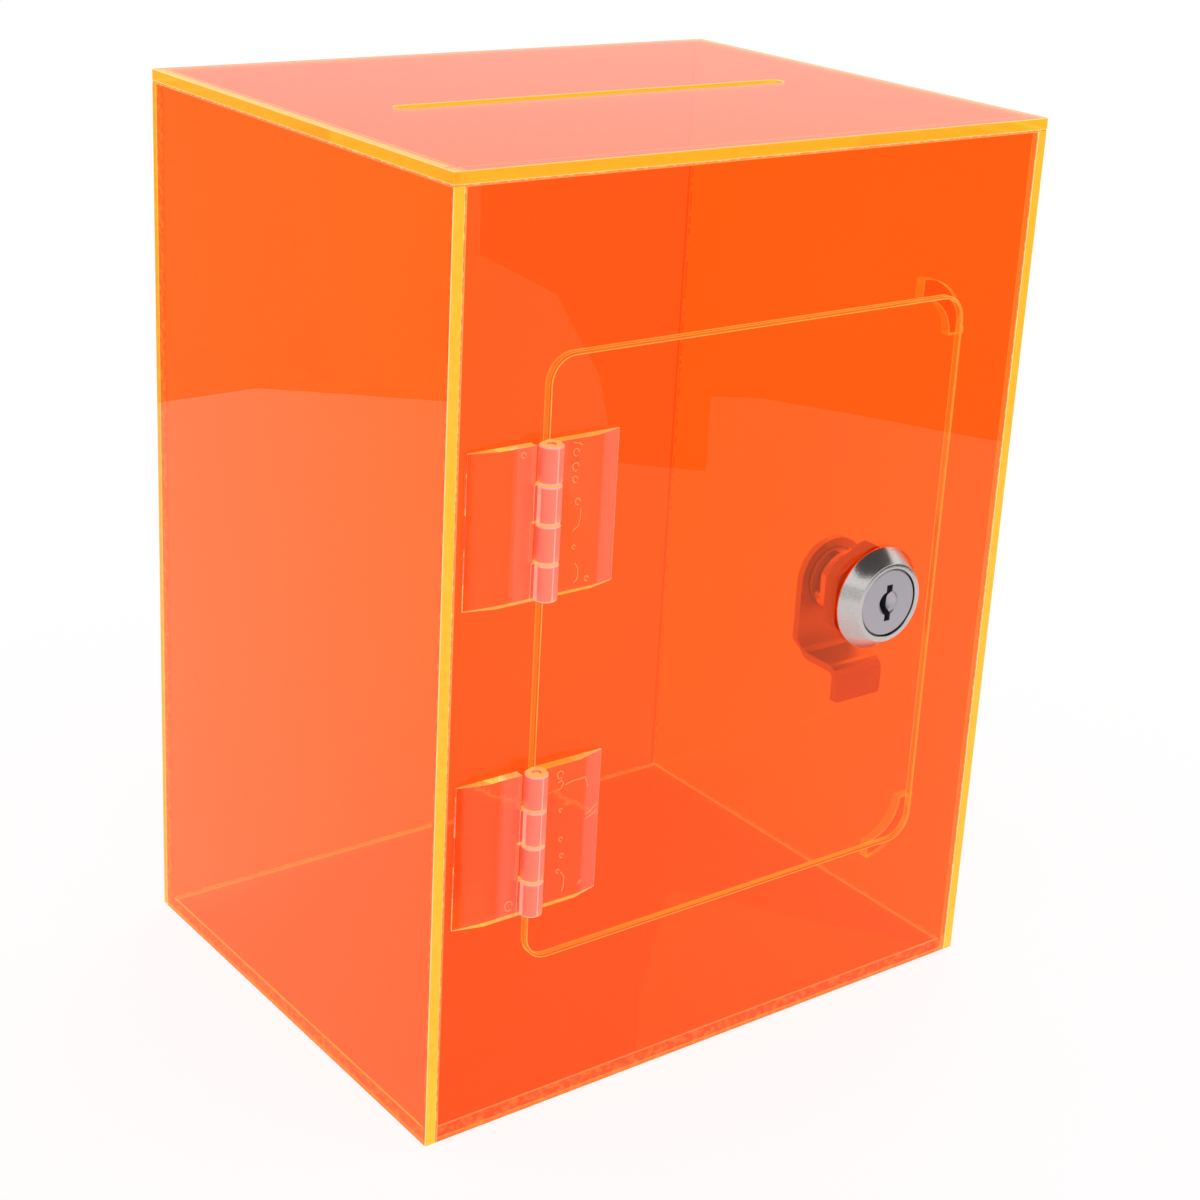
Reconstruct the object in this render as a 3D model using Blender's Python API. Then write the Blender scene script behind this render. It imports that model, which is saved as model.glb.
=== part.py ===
"""Acrylic money box: a glued box of clear orange sheet with a coin slot in its lid, and a front door
that swings on two clear plastic hinges and is held shut by a cam lock.

Metres, +Z up. X runs along the front, the front faces -Y, and the origin is the middle of the base.
"""

import math

import bmesh
import bpy
from mathutils import Matrix, Vector

# Box
BOX_WIDTH = 0.180
BOX_DEPTH = 0.140
BOX_HEIGHT = 0.240
SHEET = 0.003
JOINT_GAP = 0.0003  # cement line between two glued pieces, or air between two that touch

# Coin slot, in the middle of the lid
SLOT_LENGTH = 0.122
SLOT_WIDTH = 0.005

# Door opening: what is left of the front on each side of it
OPENING_LEFT = 0.0273
OPENING_RIGHT = 0.0234
OPENING_BOTTOM = 0.0427
OPENING_TOP = 0.0433
OPENING_CORNER_RADIUS = 0.007
DOOR_CLEARANCE = 0.0005

# Quarter rings glued behind the opening's right corners, where the door comes to rest
STOP_INNER_RADIUS = 0.0107
STOP_OUTER_RADIUS = 0.016
STOP_LAP_SIDE = 0.0024
STOP_LAP_END = 0.0006

# Hinges
HINGE_WIDTH = 0.0418
HINGE_HEIGHT = 0.0374
UPPER_HINGE_MARGIN = 0.0193  # from the opening's top edge down to the hinge
LOWER_HINGE_MARGIN = 0.016  # from the opening's bottom edge up to the hinge
KNUCKLE_COUNT = 4
LEAF_THICKNESS = 0.0025
LEAF_EDGE_THICKNESS = 0.0005
LEAF_TAPER_LENGTH = 0.0075
FOLD_CLEARANCE = 0.0004  # half of the air between the leaves of a fully open hinge
KNUCKLE_GAP = 0.00035
KNUCKLE_RELIEF = 0.0008  # air between a barrel and the notch that clears it
PIN_RADIUS = 0.001
PIN_PLAY = 0.00015
PIN_INSET = 0.0004
HINGE_LINE_OFFSET = 0.0012  # how far the pin stands on the frame's side of the opening's edge

# Lock body
LOCK_FROM_RIGHT = 0.0215  # axis to the opening's right edge
LOCK_BELOW_MIDDLE = 0.0017  # axis to the middle of the opening's height
BEZEL_RADIUS = 0.0139
BEZEL_RIM = 0.0006
BEZEL_HEIGHT = 0.005
BEZEL_FACE_RADIUS = 0.01065
COUNTERBORE_RADIUS = 0.0093
COUNTERBORE_DEPTH = 0.003
BARREL_RADIUS = 0.009
BARREL_FLATS = 0.016
BARREL_LENGTH = 0.016
BARREL_HOLE_CLEARANCE = 0.0007
PLUG_BORE_RADIUS = 0.0068
STOP_NOTCH_DEPTH = 0.002

# Lock plug, which the key turns
PLUG_PLAY = 0.0003
PLUG_RECESS = 0.0002
PLUG_EDGE_BREAK = 0.0003
DIMPLE_RADIUS = 0.0033
DIMPLE_DEPTH = 0.0012
KEYWAY_HEIGHT = 0.010
KEYWAY_WIDTH = 0.0020
KEYWAY_BULGE = 0.0015
KEYWAY_DEPTH = 0.0135
TAIL_SIDE = 0.007
TAIL_SHORT = 0.0002  # how far the tail stays below the cam's back, so that the screw clamps the cam

# What the plug's tail carries
STOP_WASHER_THICKNESS = 0.001
STOP_WASHER_RADIUS = 0.0085
LUG_ROOT_RADIUS = 0.0071
LUG_WIDTH = 0.0028
SPRING_WASHER_RADIUS = 0.0062
SPRING_WASHER_THICKNESS = 0.0008
SCREW_RADIUS = 0.002
SCREW_LENGTH = 0.010
SCREW_HEAD_RADIUS = 0.0045
SCREW_HEAD_HEIGHT = 0.0024
SCREW_BORE_EXTRA = 0.001

# Nut that clamps the body to the door
NUT_ACROSS_FLATS = 0.024
NUT_THICKNESS = 0.0045
NUT_CHAMFER = 0.0007

# Cam
CAM_THICKNESS = 0.002
CAM_WIDTH = 0.022
CAM_TIP_WIDTH = 0.016
CAM_SHOULDER = 0.004
CAM_CRANK_REACH = 0.022  # axis to the outer side of the cranked web
CAM_REACH = 0.030
CAM_TIP_CLEARANCE = 0.0015  # air between the tip and the back of the front panel
CAM_BEND_RADIUS = 0.0015

# Turns, in degrees
QUARTER_TURN = 90
HALF_TURN = 180
FULL_TURN = 360
SMOOTH_ANGLE = 30  # edges that turn by more than this stay sharp

# Facets and cutting
CORNER_STEPS = 6
SLOT_STEPS = 10
STOP_STEPS = 12
KNUCKLE_STEPS = 20
PIN_STEPS = 16
LOCK_STEPS = 72
SMALL_STEPS = 32
HEX_SIDES = 6
BEND_STEPS = 4
DIMPLE_STEPS = 4
CUT_OVERRUN = 0.002
WELD_DISTANCE = 0.000001

# Shares along the keyway's height and bulge that shape its two flanks
KEYWAY_BEND_SHARES = (0.26, 0.17)
KEYWAY_BULGE_TOP_SHARE = 0.12
KEYWAY_RIGHT_FLANK_SHARE = 0.5
KEYWAY_FOOT_SHARE = 0.32
LUG_REACH_SHARE = 0.8  # of the notch's depth

# Places that several pieces share
FRONT_Y = -BOX_DEPTH / 2
WALL_TOP = BOX_HEIGHT - SHEET - JOINT_GAP
OPENING_WIDTH = BOX_WIDTH - OPENING_LEFT - OPENING_RIGHT
OPENING_HEIGHT = BOX_HEIGHT - OPENING_BOTTOM - OPENING_TOP
OPENING_CENTRE = Vector((
    -BOX_WIDTH / 2 + OPENING_LEFT + OPENING_WIDTH / 2,
    FRONT_Y,
    OPENING_BOTTOM + OPENING_HEIGHT / 2,
))
OPENING_RIGHT_X = OPENING_CENTRE.x + OPENING_WIDTH / 2
PIN_X = OPENING_CENTRE.x - OPENING_WIDTH / 2 - HINGE_LINE_OFFSET
PIN_Y = FRONT_Y - JOINT_GAP - LEAF_THICKNESS - FOLD_CLEARANCE
KNUCKLE_RADIUS = LEAF_THICKNESS + FOLD_CLEARANCE
LOCK_CENTRE = OPENING_CENTRE + Vector((OPENING_WIDTH / 2 - LOCK_FROM_RIGHT, 0, -LOCK_BELOW_MIDDLE))

# Depths along the lock's axis, from the door's face into the box
BEZEL_FACE_Y = -JOINT_GAP - BEZEL_HEIGHT
COUNTERBORE_FLOOR_Y = BEZEL_FACE_Y + COUNTERBORE_DEPTH
BARREL_END_Y = BARREL_LENGTH - JOINT_GAP
SHANK_END_Y = BARREL_END_Y + JOINT_GAP
STOP_WASHER_Y = SHANK_END_Y + JOINT_GAP
CAM_Y = STOP_WASHER_Y + STOP_WASHER_THICKNESS + JOINT_GAP
CAM_TIP_Y = SHEET + CAM_TIP_CLEARANCE
SPRING_WASHER_Y = CAM_Y + CAM_THICKNESS + JOINT_GAP
SCREW_HEAD_Y = SPRING_WASHER_Y + SPRING_WASHER_THICKNESS + JOINT_GAP

# Finishes: colour, roughness, metallic, transmission
ORANGE_ACRYLIC = ((1.0, 0.13, 0.015), 0.05, 0.0, 0.85)
CLEAR_PLASTIC = ((0.95, 0.93, 0.90), 0.12, 0.0, 0.9)
NICKEL_PLATE = ((0.66, 0.64, 0.61), 0.22, 1.0, 0.0)
SATIN_PLUG = ((0.55, 0.53, 0.51), 0.38, 1.0, 0.0)
ZINC_PLATE = ((0.52, 0.51, 0.48), 0.35, 1.0, 0.0)


def clear_scene():
    """Removes whatever the start-up file holds."""
    for obj in list(bpy.data.objects):
        bpy.data.objects.remove(obj, do_unlink=True)


def give_finish(obj, finish):
    """Gives a part its own material."""
    colour, roughness, metallic, transmission = finish
    material = bpy.data.materials.new(obj.name + "_finish")
    material.use_nodes = True
    shader = material.node_tree.nodes["Principled BSDF"]
    shader.inputs["Base Color"].default_value = (*colour, 1.0)
    shader.inputs["Roughness"].default_value = roughness
    shader.inputs["Metallic"].default_value = metallic
    shader.inputs["Transmission Weight"].default_value = transmission
    obj.data.materials.append(material)


def world_origin(obj):
    """Where an unturned object stands, summed up its chain of parents."""
    place = Vector((0, 0, 0))
    while obj:
        place += obj.location
        obj = obj.parent
    return place


def add_object(name, bm, place, parent=None):
    """Makes an object of a mesh that is drawn round its own origin, and stands it at a place in the world."""
    bmesh.ops.recalc_face_normals(bm, faces=bm.faces)
    mesh = bpy.data.meshes.new(name)
    bm.to_mesh(mesh)
    bm.free()
    mesh.shade_smooth()
    mesh.set_sharp_from_angle(angle=math.radians(SMOOTH_ANGLE))
    obj = bpy.data.objects.new(name, mesh)
    bpy.context.scene.collection.objects.link(obj)
    obj.parent = parent
    obj.location = Vector(place) - world_origin(parent)
    return obj


def add_part(name, bm, finish, place, parent=None):
    """A visible piece of the box."""
    obj = add_object(name, bm, place, parent)
    give_finish(obj, finish)
    return obj


def add_pivot(name, place, parent=None):
    """An empty on a joint's axis, which carries the pieces that turn with it."""
    pivot = bpy.data.objects.new(name, None)
    bpy.context.scene.collection.objects.link(pivot)
    pivot.parent = parent
    pivot.location = Vector(place) - world_origin(parent)
    return pivot


def combine(obj, tool_bm, name, operation, place):
    """Cuts a part with a hidden shape, or joins the shape to it."""
    tool = add_object(name, tool_bm, place, obj.parent)
    tool.hide_render = True
    tool.display_type = "WIRE"
    modifier = obj.modifiers.new(name, "BOOLEAN")
    modifier.operation = operation
    modifier.solver = "EXACT"
    modifier.object = tool


def arc(centre, radius, start, end, steps):
    """Points on an arc about a centre, both ends included, with its angles in degrees."""
    points = []
    for step in range(steps + 1):
        angle = math.radians(start + (end - start) * step / steps)
        points.append((centre[0] + radius * math.cos(angle), centre[1] + radius * math.sin(angle)))
    return points


def circle(radius, steps):
    """Points round a full circle about the origin."""
    return arc((0, 0), radius, 0, FULL_TURN, steps)[:-1]


def rounded_rectangle(width, height, radius, steps):
    """A rectangle about the origin with round corners."""
    points = []
    for quarter, (side_u, side_v) in enumerate(((1, 1), (-1, 1), (-1, -1), (1, -1))):
        centre = (side_u * (width / 2 - radius), side_v * (height / 2 - radius))
        start = QUARTER_TURN * quarter
        points += arc(centre, radius, start, start + QUARTER_TURN, steps)
    return points


def rectangle(width, height):
    """A rectangle about the origin with sharp corners."""
    half_u = width / 2
    half_v = height / 2
    return [(half_u, half_v), (-half_u, half_v), (-half_u, -half_v), (half_u, -half_v)]


def flatted_circle(radius, across_flats, steps):
    """A circle with a flat on its left and right."""
    flat_angle = math.degrees(math.acos(across_flats / 2 / radius))
    upper = arc((0, 0), radius, flat_angle, HALF_TURN - flat_angle, steps)
    lower = arc((0, 0), radius, HALF_TURN + flat_angle, FULL_TURN - flat_angle, steps)
    return upper + lower


def extruded(outline, to_3d, sweep):
    """A prism: an outline placed in space by to_3d and swept along a vector."""
    bm = bmesh.new()
    start = bm.faces.new([bm.verts.new(to_3d(u, v)) for u, v in outline])
    grown = bmesh.ops.extrude_face_region(bm, geom=[start])
    moved = [item for item in grown["geom"] if isinstance(item, bmesh.types.BMVert)]
    bmesh.ops.translate(bm, verts=moved, vec=sweep)
    bmesh.ops.remove_doubles(bm, verts=bm.verts, dist=WELD_DISTANCE)
    return bm


def plate(outline, front, back):
    """A plate parallel to the box's front: an outline in X and Z between two depths."""
    return extruded(outline, lambda u, v: (u, front, v), (0, back - front, 0))


def column(outline, low, high):
    """An upright prism: an outline in X and Y between two heights."""
    return extruded(outline, lambda u, v: (u, v, low), (0, 0, high - low))


def slab(low, high):
    """A rectangular sheet about its own middle, as large as the space between two corners."""
    bm = bmesh.new()
    size = high - low
    bmesh.ops.create_cube(bm, size=1, matrix=Matrix.Diagonal((*size, 1)))
    return bm


def turned(profile, steps):
    """A turned piece about the Y axis. Its profile is a loop of (radius, y) points, open only on the axis."""
    bm = bmesh.new()
    verts = [bm.verts.new((radius, y, 0)) for radius, y in profile]
    edges = [bm.edges.new(pair) for pair in zip(verts, verts[1:])]
    if profile[0][0] > 0:
        edges.append(bm.edges.new((verts[-1], verts[0])))
    bmesh.ops.spin(
        bm,
        geom=verts + edges,
        cent=(0, 0, 0),
        axis=(0, 1, 0),
        angle=math.tau,
        steps=steps,
        use_merge=True,
    )
    bmesh.ops.remove_doubles(bm, verts=bm.verts, dist=WELD_DISTANCE)
    return bm


def box_panels():
    """The six glued sheets: the lid covers the walls, the sides cap the front and back, and the floor is let in."""
    half_width = BOX_WIDTH / 2
    half_depth = BOX_DEPTH / 2
    inner_x = half_width - SHEET - JOINT_GAP
    inner_y = half_depth - SHEET - JOINT_GAP
    corners = {
        "top_panel": ((-half_width, -half_depth, BOX_HEIGHT - SHEET), (half_width, half_depth, BOX_HEIGHT)),
        "left_panel": ((-half_width, -half_depth, 0), (-half_width + SHEET, half_depth, WALL_TOP)),
        "right_panel": ((half_width - SHEET, -half_depth, 0), (half_width, half_depth, WALL_TOP)),
        "front_panel": ((-inner_x, -half_depth, 0), (inner_x, -half_depth + SHEET, WALL_TOP)),
        "back_panel": ((-inner_x, half_depth - SHEET, 0), (inner_x, half_depth, WALL_TOP)),
        "bottom_panel": ((-inner_x, -inner_y, 0), (inner_x, inner_y, SHEET)),
    }
    panels = {}
    for name, ends in corners.items():
        low, high = (Vector(end) for end in ends)
        panels[name] = add_part(name, slab(low, high), ORANGE_ACRYLIC, (low + high) / 2)
    return panels


def coin_slot(lid):
    """The slot with round ends that is cut through the lid."""
    outline = rounded_rectangle(SLOT_LENGTH, SLOT_WIDTH, SLOT_WIDTH / 2, SLOT_STEPS)
    cutter = column(outline, -SHEET - CUT_OVERRUN, CUT_OVERRUN)
    combine(lid, cutter, "coin_slot_cutter", "DIFFERENCE", (0, 0, BOX_HEIGHT))


def door_opening(front):
    """The round-cornered opening in the front."""
    outline = rounded_rectangle(OPENING_WIDTH, OPENING_HEIGHT, OPENING_CORNER_RADIUS, CORNER_STEPS)
    cutter = plate(outline, -CUT_OVERRUN, SHEET + CUT_OVERRUN)
    combine(front, cutter, "door_opening_cutter", "DIFFERENCE", OPENING_CENTRE)


def corner_stop(name, up):
    """A quarter ring glued behind a right corner of the opening. up is 1 for the upper one, -1 for the lower."""
    centre = Vector((
        OPENING_RIGHT_X - STOP_LAP_SIDE - STOP_INNER_RADIUS,
        FRONT_Y,
        OPENING_CENTRE.z + up * (OPENING_HEIGHT / 2 - STOP_LAP_END - STOP_INNER_RADIUS),
    ))
    start = 0 if up > 0 else -QUARTER_TURN
    outer = arc((0, 0), STOP_OUTER_RADIUS, start, start + QUARTER_TURN, STOP_STEPS)
    inner = arc((0, 0), STOP_INNER_RADIUS, start + QUARTER_TURN, start, STOP_STEPS)
    front = SHEET + JOINT_GAP
    add_part(name, plate(outer + inner, front, front + SHEET), ORANGE_ACRYLIC, centre)


def knuckle_span(index):
    """Lowest and highest point of a knuckle above the hinge's lower end, counted from the top."""
    pitch = (HINGE_HEIGHT + KNUCKLE_GAP) / KNUCKLE_COUNT
    high = HINGE_HEIGHT - pitch * index
    return high - pitch + KNUCKLE_GAP, high


def hinge_leaf(name, side, own_knuckles, bottom, parent):
    """A moulded leaf with its knuckles. side is -1 for the frame's leaf and 1 for the door's.

    The section stands round the pin. Its back is tangent to the barrel, and its outer edge tapers.
    """
    leaf_back = KNUCKLE_RADIUS
    leaf_front = FOLD_CLEARANCE
    outer = HINGE_WIDTH / 2
    root_angle = math.degrees(math.asin(leaf_front / KNUCKLE_RADIUS))
    barrel = arc((0, 0), KNUCKLE_RADIUS, root_angle, QUARTER_TURN - FULL_TURN, KNUCKLE_STEPS)
    section = [
        (outer, leaf_back),
        (outer, leaf_back - LEAF_EDGE_THICKNESS),
        (outer - LEAF_TAPER_LENGTH, leaf_front),
        *barrel,
    ]
    outline = [(side * x, y) for x, y in section]
    leaf = add_part(name, column(outline, 0, HINGE_HEIGHT), CLEAR_PLASTIC, (PIN_X, PIN_Y, bottom), parent)
    reach = KNUCKLE_RADIUS + KNUCKLE_RELIEF
    for index in range(KNUCKLE_COUNT):
        if index in own_knuckles:
            continue
        low, high = knuckle_span(index)
        low -= KNUCKLE_GAP if index < KNUCKLE_COUNT - 1 else CUT_OVERRUN
        high += KNUCKLE_GAP if index > 0 else CUT_OVERRUN
        notch = column(rectangle(reach * 2, reach * 2), low, high)
        combine(leaf, notch, f"{name}_notch_{index + 1}", "DIFFERENCE", (PIN_X, PIN_Y, bottom))
    bore = column(circle(PIN_RADIUS + PIN_PLAY, PIN_STEPS), -CUT_OVERRUN, HINGE_HEIGHT + CUT_OVERRUN)
    combine(leaf, bore, f"{name}_bore", "DIFFERENCE", (PIN_X, PIN_Y, bottom))


def hinge(name, bottom, door_pivot):
    """One hinge: the frame's leaf and the pin stay, and the door's leaf turns on the pin."""
    door_knuckles = range(0, KNUCKLE_COUNT, 2)
    frame_knuckles = range(1, KNUCKLE_COUNT, 2)
    hinge_leaf(name + "_frame_leaf", -1, frame_knuckles, bottom, None)
    hinge_leaf(name + "_door_leaf", 1, door_knuckles, bottom, door_pivot)
    pin = column(circle(PIN_RADIUS, PIN_STEPS), PIN_INSET, HINGE_HEIGHT - PIN_INSET)
    add_part(name + "_pin", pin, CLEAR_PLASTIC, (PIN_X, PIN_Y, bottom))


def door_panel(door_pivot):
    """The door, cut from the same sheet as the front, with the lock's flatted hole."""
    outline = rounded_rectangle(
        OPENING_WIDTH - 2 * DOOR_CLEARANCE,
        OPENING_HEIGHT - 2 * DOOR_CLEARANCE,
        OPENING_CORNER_RADIUS - DOOR_CLEARANCE,
        CORNER_STEPS,
    )
    door = add_part("door_panel", plate(outline, 0, SHEET), ORANGE_ACRYLIC, OPENING_CENTRE, door_pivot)
    hole = flatted_circle(
        BARREL_RADIUS + BARREL_HOLE_CLEARANCE,
        BARREL_FLATS + 2 * JOINT_GAP,
        SMALL_STEPS // 2,
    )
    cutter = plate(hole, -CUT_OVERRUN, SHEET + CUT_OVERRUN)
    combine(door, cutter, "lock_hole_cutter", "DIFFERENCE", LOCK_CENTRE)


def lug_angle():
    """Half of the angle that the stop washer's lug takes, in degrees."""
    return math.degrees(LUG_WIDTH / 2 / LUG_ROOT_RADIUS)


def lock_body(door_pivot):
    """The lock's body: a coned bezel, a barrel with two flats, and a stepped bore for the plug.

    The barrel's end is notched for a quarter turn, which the stop washer's lug runs in.
    """
    bezel_profile = [
        (0, -JOINT_GAP),
        (BEZEL_RADIUS, -JOINT_GAP),
        (BEZEL_RADIUS, -JOINT_GAP - BEZEL_RIM),
        (BEZEL_FACE_RADIUS, BEZEL_FACE_Y),
        (0, BEZEL_FACE_Y),
    ]
    body = add_part("lock_body", turned(bezel_profile, LOCK_STEPS), NICKEL_PLATE, LOCK_CENTRE, door_pivot)
    barrel = plate(
        flatted_circle(BARREL_RADIUS, BARREL_FLATS, SMALL_STEPS // 2),
        COUNTERBORE_FLOOR_Y / 2,
        BARREL_END_Y,
    )
    combine(body, barrel, "lock_barrel", "UNION", LOCK_CENTRE)
    bore_profile = [
        (0, BEZEL_FACE_Y - CUT_OVERRUN),
        (COUNTERBORE_RADIUS, BEZEL_FACE_Y - CUT_OVERRUN),
        (COUNTERBORE_RADIUS, COUNTERBORE_FLOOR_Y),
        (PLUG_BORE_RADIUS, COUNTERBORE_FLOOR_Y),
        (PLUG_BORE_RADIUS, BARREL_END_Y + CUT_OVERRUN),
        (0, BARREL_END_Y + CUT_OVERRUN),
    ]
    combine(body, turned(bore_profile, LOCK_STEPS), "plug_bore", "DIFFERENCE", LOCK_CENTRE)
    slack = math.degrees(JOINT_GAP / LUG_ROOT_RADIUS)
    start = QUARTER_TURN - lug_angle() - slack
    end = HALF_TURN + lug_angle() + slack
    wedge = [(0, 0), *arc((0, 0), BEZEL_RADIUS, start, end, STOP_STEPS)]
    notch = plate(wedge, BARREL_END_Y - STOP_NOTCH_DEPTH, BARREL_END_Y + CUT_OVERRUN)
    combine(body, notch, "stop_notch", "DIFFERENCE", LOCK_CENTRE)


def keyway_outline():
    """The keyway seen from the front: an upright slot that swells to the left at its middle."""
    half_height = KEYWAY_HEIGHT / 2
    half_width = KEYWAY_WIDTH / 2
    outer_bend, inner_bend = (share * KEYWAY_HEIGHT for share in KEYWAY_BEND_SHARES)
    inner_flank = half_width - KEYWAY_BULGE * KEYWAY_RIGHT_FLANK_SHARE
    foot = KEYWAY_FOOT_SHARE * KEYWAY_HEIGHT
    bulge_top = KEYWAY_BULGE_TOP_SHARE * KEYWAY_HEIGHT
    return [
        (-half_width, half_height),
        (half_width, half_height),
        (half_width, outer_bend),
        (inner_flank, inner_bend),
        (inner_flank, -inner_bend),
        (half_width, -outer_bend),
        (half_width, -half_height),
        (-half_width, -half_height),
        (-half_width, -foot),
        (-half_width - KEYWAY_BULGE, 0),
        (-half_width - KEYWAY_BULGE, bulge_top),
        (-half_width, outer_bend),
    ]


def lock_plug(lock_pivot):
    """The plug that the key turns: a flat head in the bezel, a shank in the barrel and a square tail."""
    face = BEZEL_FACE_Y + PLUG_RECESS
    head_radius = COUNTERBORE_RADIUS - PLUG_PLAY
    head_back = COUNTERBORE_FLOOR_Y - PLUG_PLAY
    shank_radius = PLUG_BORE_RADIUS - PLUG_PLAY
    profile = [
        (0, face),
        (head_radius - PLUG_EDGE_BREAK, face),
        (head_radius, face + PLUG_EDGE_BREAK),
        (head_radius, head_back),
        (shank_radius, head_back),
        (shank_radius, SHANK_END_Y),
        (0, SHANK_END_Y),
    ]
    plug = add_part("lock_plug", turned(profile, LOCK_STEPS), SATIN_PLUG, LOCK_CENTRE, lock_pivot)
    tail_end = CAM_Y + CAM_THICKNESS - TAIL_SHORT
    tail = plate(rectangle(TAIL_SIDE, TAIL_SIDE), SHANK_END_Y - TAIL_SIDE, tail_end)
    combine(plug, tail, "plug_tail", "UNION", LOCK_CENTRE)
    dimple_profile = [(0, face - CUT_OVERRUN), (DIMPLE_RADIUS, face - CUT_OVERRUN)]
    for step in range(DIMPLE_STEPS + 1):
        angle = math.radians(QUARTER_TURN * step / DIMPLE_STEPS)
        dimple_profile.append((DIMPLE_RADIUS * math.cos(angle), face + DIMPLE_DEPTH * math.sin(angle)))
    dimple_profile[-1] = (0, face + DIMPLE_DEPTH)
    combine(plug, turned(dimple_profile, SMALL_STEPS), "key_dimple", "DIFFERENCE", LOCK_CENTRE)
    keyway = plate(keyway_outline(), face - CUT_OVERRUN, face + KEYWAY_DEPTH)
    combine(plug, keyway, "keyway", "DIFFERENCE", LOCK_CENTRE)
    bore_end = SCREW_HEAD_Y - SCREW_LENGTH - SCREW_BORE_EXTRA
    bore = plate(circle(SCREW_RADIUS + PLUG_PLAY, SMALL_STEPS), bore_end, tail_end + CUT_OVERRUN)
    combine(plug, bore, "tail_bore", "DIFFERENCE", LOCK_CENTRE)


def stop_washer(lock_pivot):
    """The washer on the square tail whose lug lets the plug turn a quarter turn and no more."""
    back = STOP_WASHER_Y + STOP_WASHER_THICKNESS
    washer = add_part(
        "lock_stop_washer",
        plate(circle(STOP_WASHER_RADIUS, LOCK_STEPS), STOP_WASHER_Y, back),
        ZINC_PLATE,
        LOCK_CENTRE,
        lock_pivot,
    )
    half = lug_angle()
    outer = arc((0, 0), STOP_WASHER_RADIUS, QUARTER_TURN - half, QUARTER_TURN + half, BEND_STEPS)
    inner = arc((0, 0), LUG_ROOT_RADIUS, QUARTER_TURN + half, QUARTER_TURN - half, BEND_STEPS)
    lug_front = BARREL_END_Y - STOP_NOTCH_DEPTH * LUG_REACH_SHARE
    lug = plate(outer + inner, lug_front, STOP_WASHER_Y + STOP_WASHER_THICKNESS / 2)
    combine(washer, lug, "stop_lug", "UNION", LOCK_CENTRE)
    square = TAIL_SIDE + 2 * JOINT_GAP
    hole = plate(rectangle(square, square), STOP_WASHER_Y - CUT_OVERRUN, back + CUT_OVERRUN)
    combine(washer, hole, "stop_washer_hole", "DIFFERENCE", LOCK_CENTRE)


def lock_nut(door_pivot):
    """The hexagon nut behind the door, with its corners chamfered on both faces."""
    front = SHEET + JOINT_GAP
    back = front + NUT_THICKNESS
    corner_radius = NUT_ACROSS_FLATS / 2 / math.cos(math.pi / HEX_SIDES)
    outline = arc((0, 0), corner_radius, QUARTER_TURN, QUARTER_TURN + FULL_TURN, HEX_SIDES)[:-1]
    nut = add_part("lock_nut", plate(outline, front, back), ZINC_PLATE, LOCK_CENTRE, door_pivot)
    chamfer_profile = [
        (0, front - NUT_CHAMFER),
        (corner_radius - 2 * NUT_CHAMFER, front - NUT_CHAMFER),
        (corner_radius + NUT_CHAMFER, front + 2 * NUT_CHAMFER),
        (corner_radius + NUT_CHAMFER, back - 2 * NUT_CHAMFER),
        (corner_radius - 2 * NUT_CHAMFER, back + NUT_CHAMFER),
        (0, back + NUT_CHAMFER),
    ]
    combine(nut, turned(chamfer_profile, LOCK_STEPS), "nut_chamfer", "INTERSECT", LOCK_CENTRE)
    bore = plate(circle(BARREL_RADIUS + JOINT_GAP, LOCK_STEPS), front - CUT_OVERRUN, back + CUT_OVERRUN)
    combine(nut, bore, "nut_bore", "DIFFERENCE", LOCK_CENTRE)


def cam_strip_section():
    """The cam's bent strip from the side, as (reach, depth): flat by the plug, a web towards the door, a tip."""
    outer_bend = CAM_BEND_RADIUS + CAM_THICKNESS
    flat_back = CAM_Y + CAM_THICKNESS
    tip_back = CAM_TIP_Y + CAM_THICKNESS
    web_far = CAM_CRANK_REACH
    web_near = CAM_CRANK_REACH - CAM_THICKNESS
    flat_bend = (web_far - outer_bend, flat_back - outer_bend)
    tip_bend = (web_near + outer_bend, CAM_TIP_Y + outer_bend)
    return [
        (-CAM_WIDTH / 2 - CUT_OVERRUN, flat_back),
        (-CAM_WIDTH / 2 - CUT_OVERRUN, CAM_Y),
        *arc(flat_bend, CAM_BEND_RADIUS, QUARTER_TURN, 0, BEND_STEPS),
        *arc(tip_bend, outer_bend, HALF_TURN, HALF_TURN + QUARTER_TURN, BEND_STEPS),
        (CAM_REACH + CUT_OVERRUN, CAM_TIP_Y),
        (CAM_REACH + CUT_OVERRUN, tip_back),
        *arc(tip_bend, CAM_BEND_RADIUS, HALF_TURN + QUARTER_TURN, HALF_TURN, BEND_STEPS),
        *arc(flat_bend, outer_bend, 0, QUARTER_TURN, BEND_STEPS),
    ]


def cam_outline():
    """The cam from the front, hanging down: round by the plug, then straight, then a narrower tip."""
    half = CAM_WIDTH / 2
    half_tip = CAM_TIP_WIDTH / 2
    tip_radius = CAM_THICKNESS / 2
    shoulder_end = CAM_CRANK_REACH - CAM_THICKNESS
    return [
        *arc((0, 0), half, 0, HALF_TURN, SMALL_STEPS // 2),
        (-half, -shoulder_end + CAM_SHOULDER),
        (-half_tip, -shoulder_end),
        *arc((-half_tip + tip_radius, -CAM_REACH + tip_radius), tip_radius, HALF_TURN,
             HALF_TURN + QUARTER_TURN, BEND_STEPS),
        *arc((half_tip - tip_radius, -CAM_REACH + tip_radius), tip_radius, HALF_TURN + QUARTER_TURN,
             FULL_TURN, BEND_STEPS),
        (half_tip, -shoulder_end),
        (half, -shoulder_end + CAM_SHOULDER),
    ]


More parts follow.
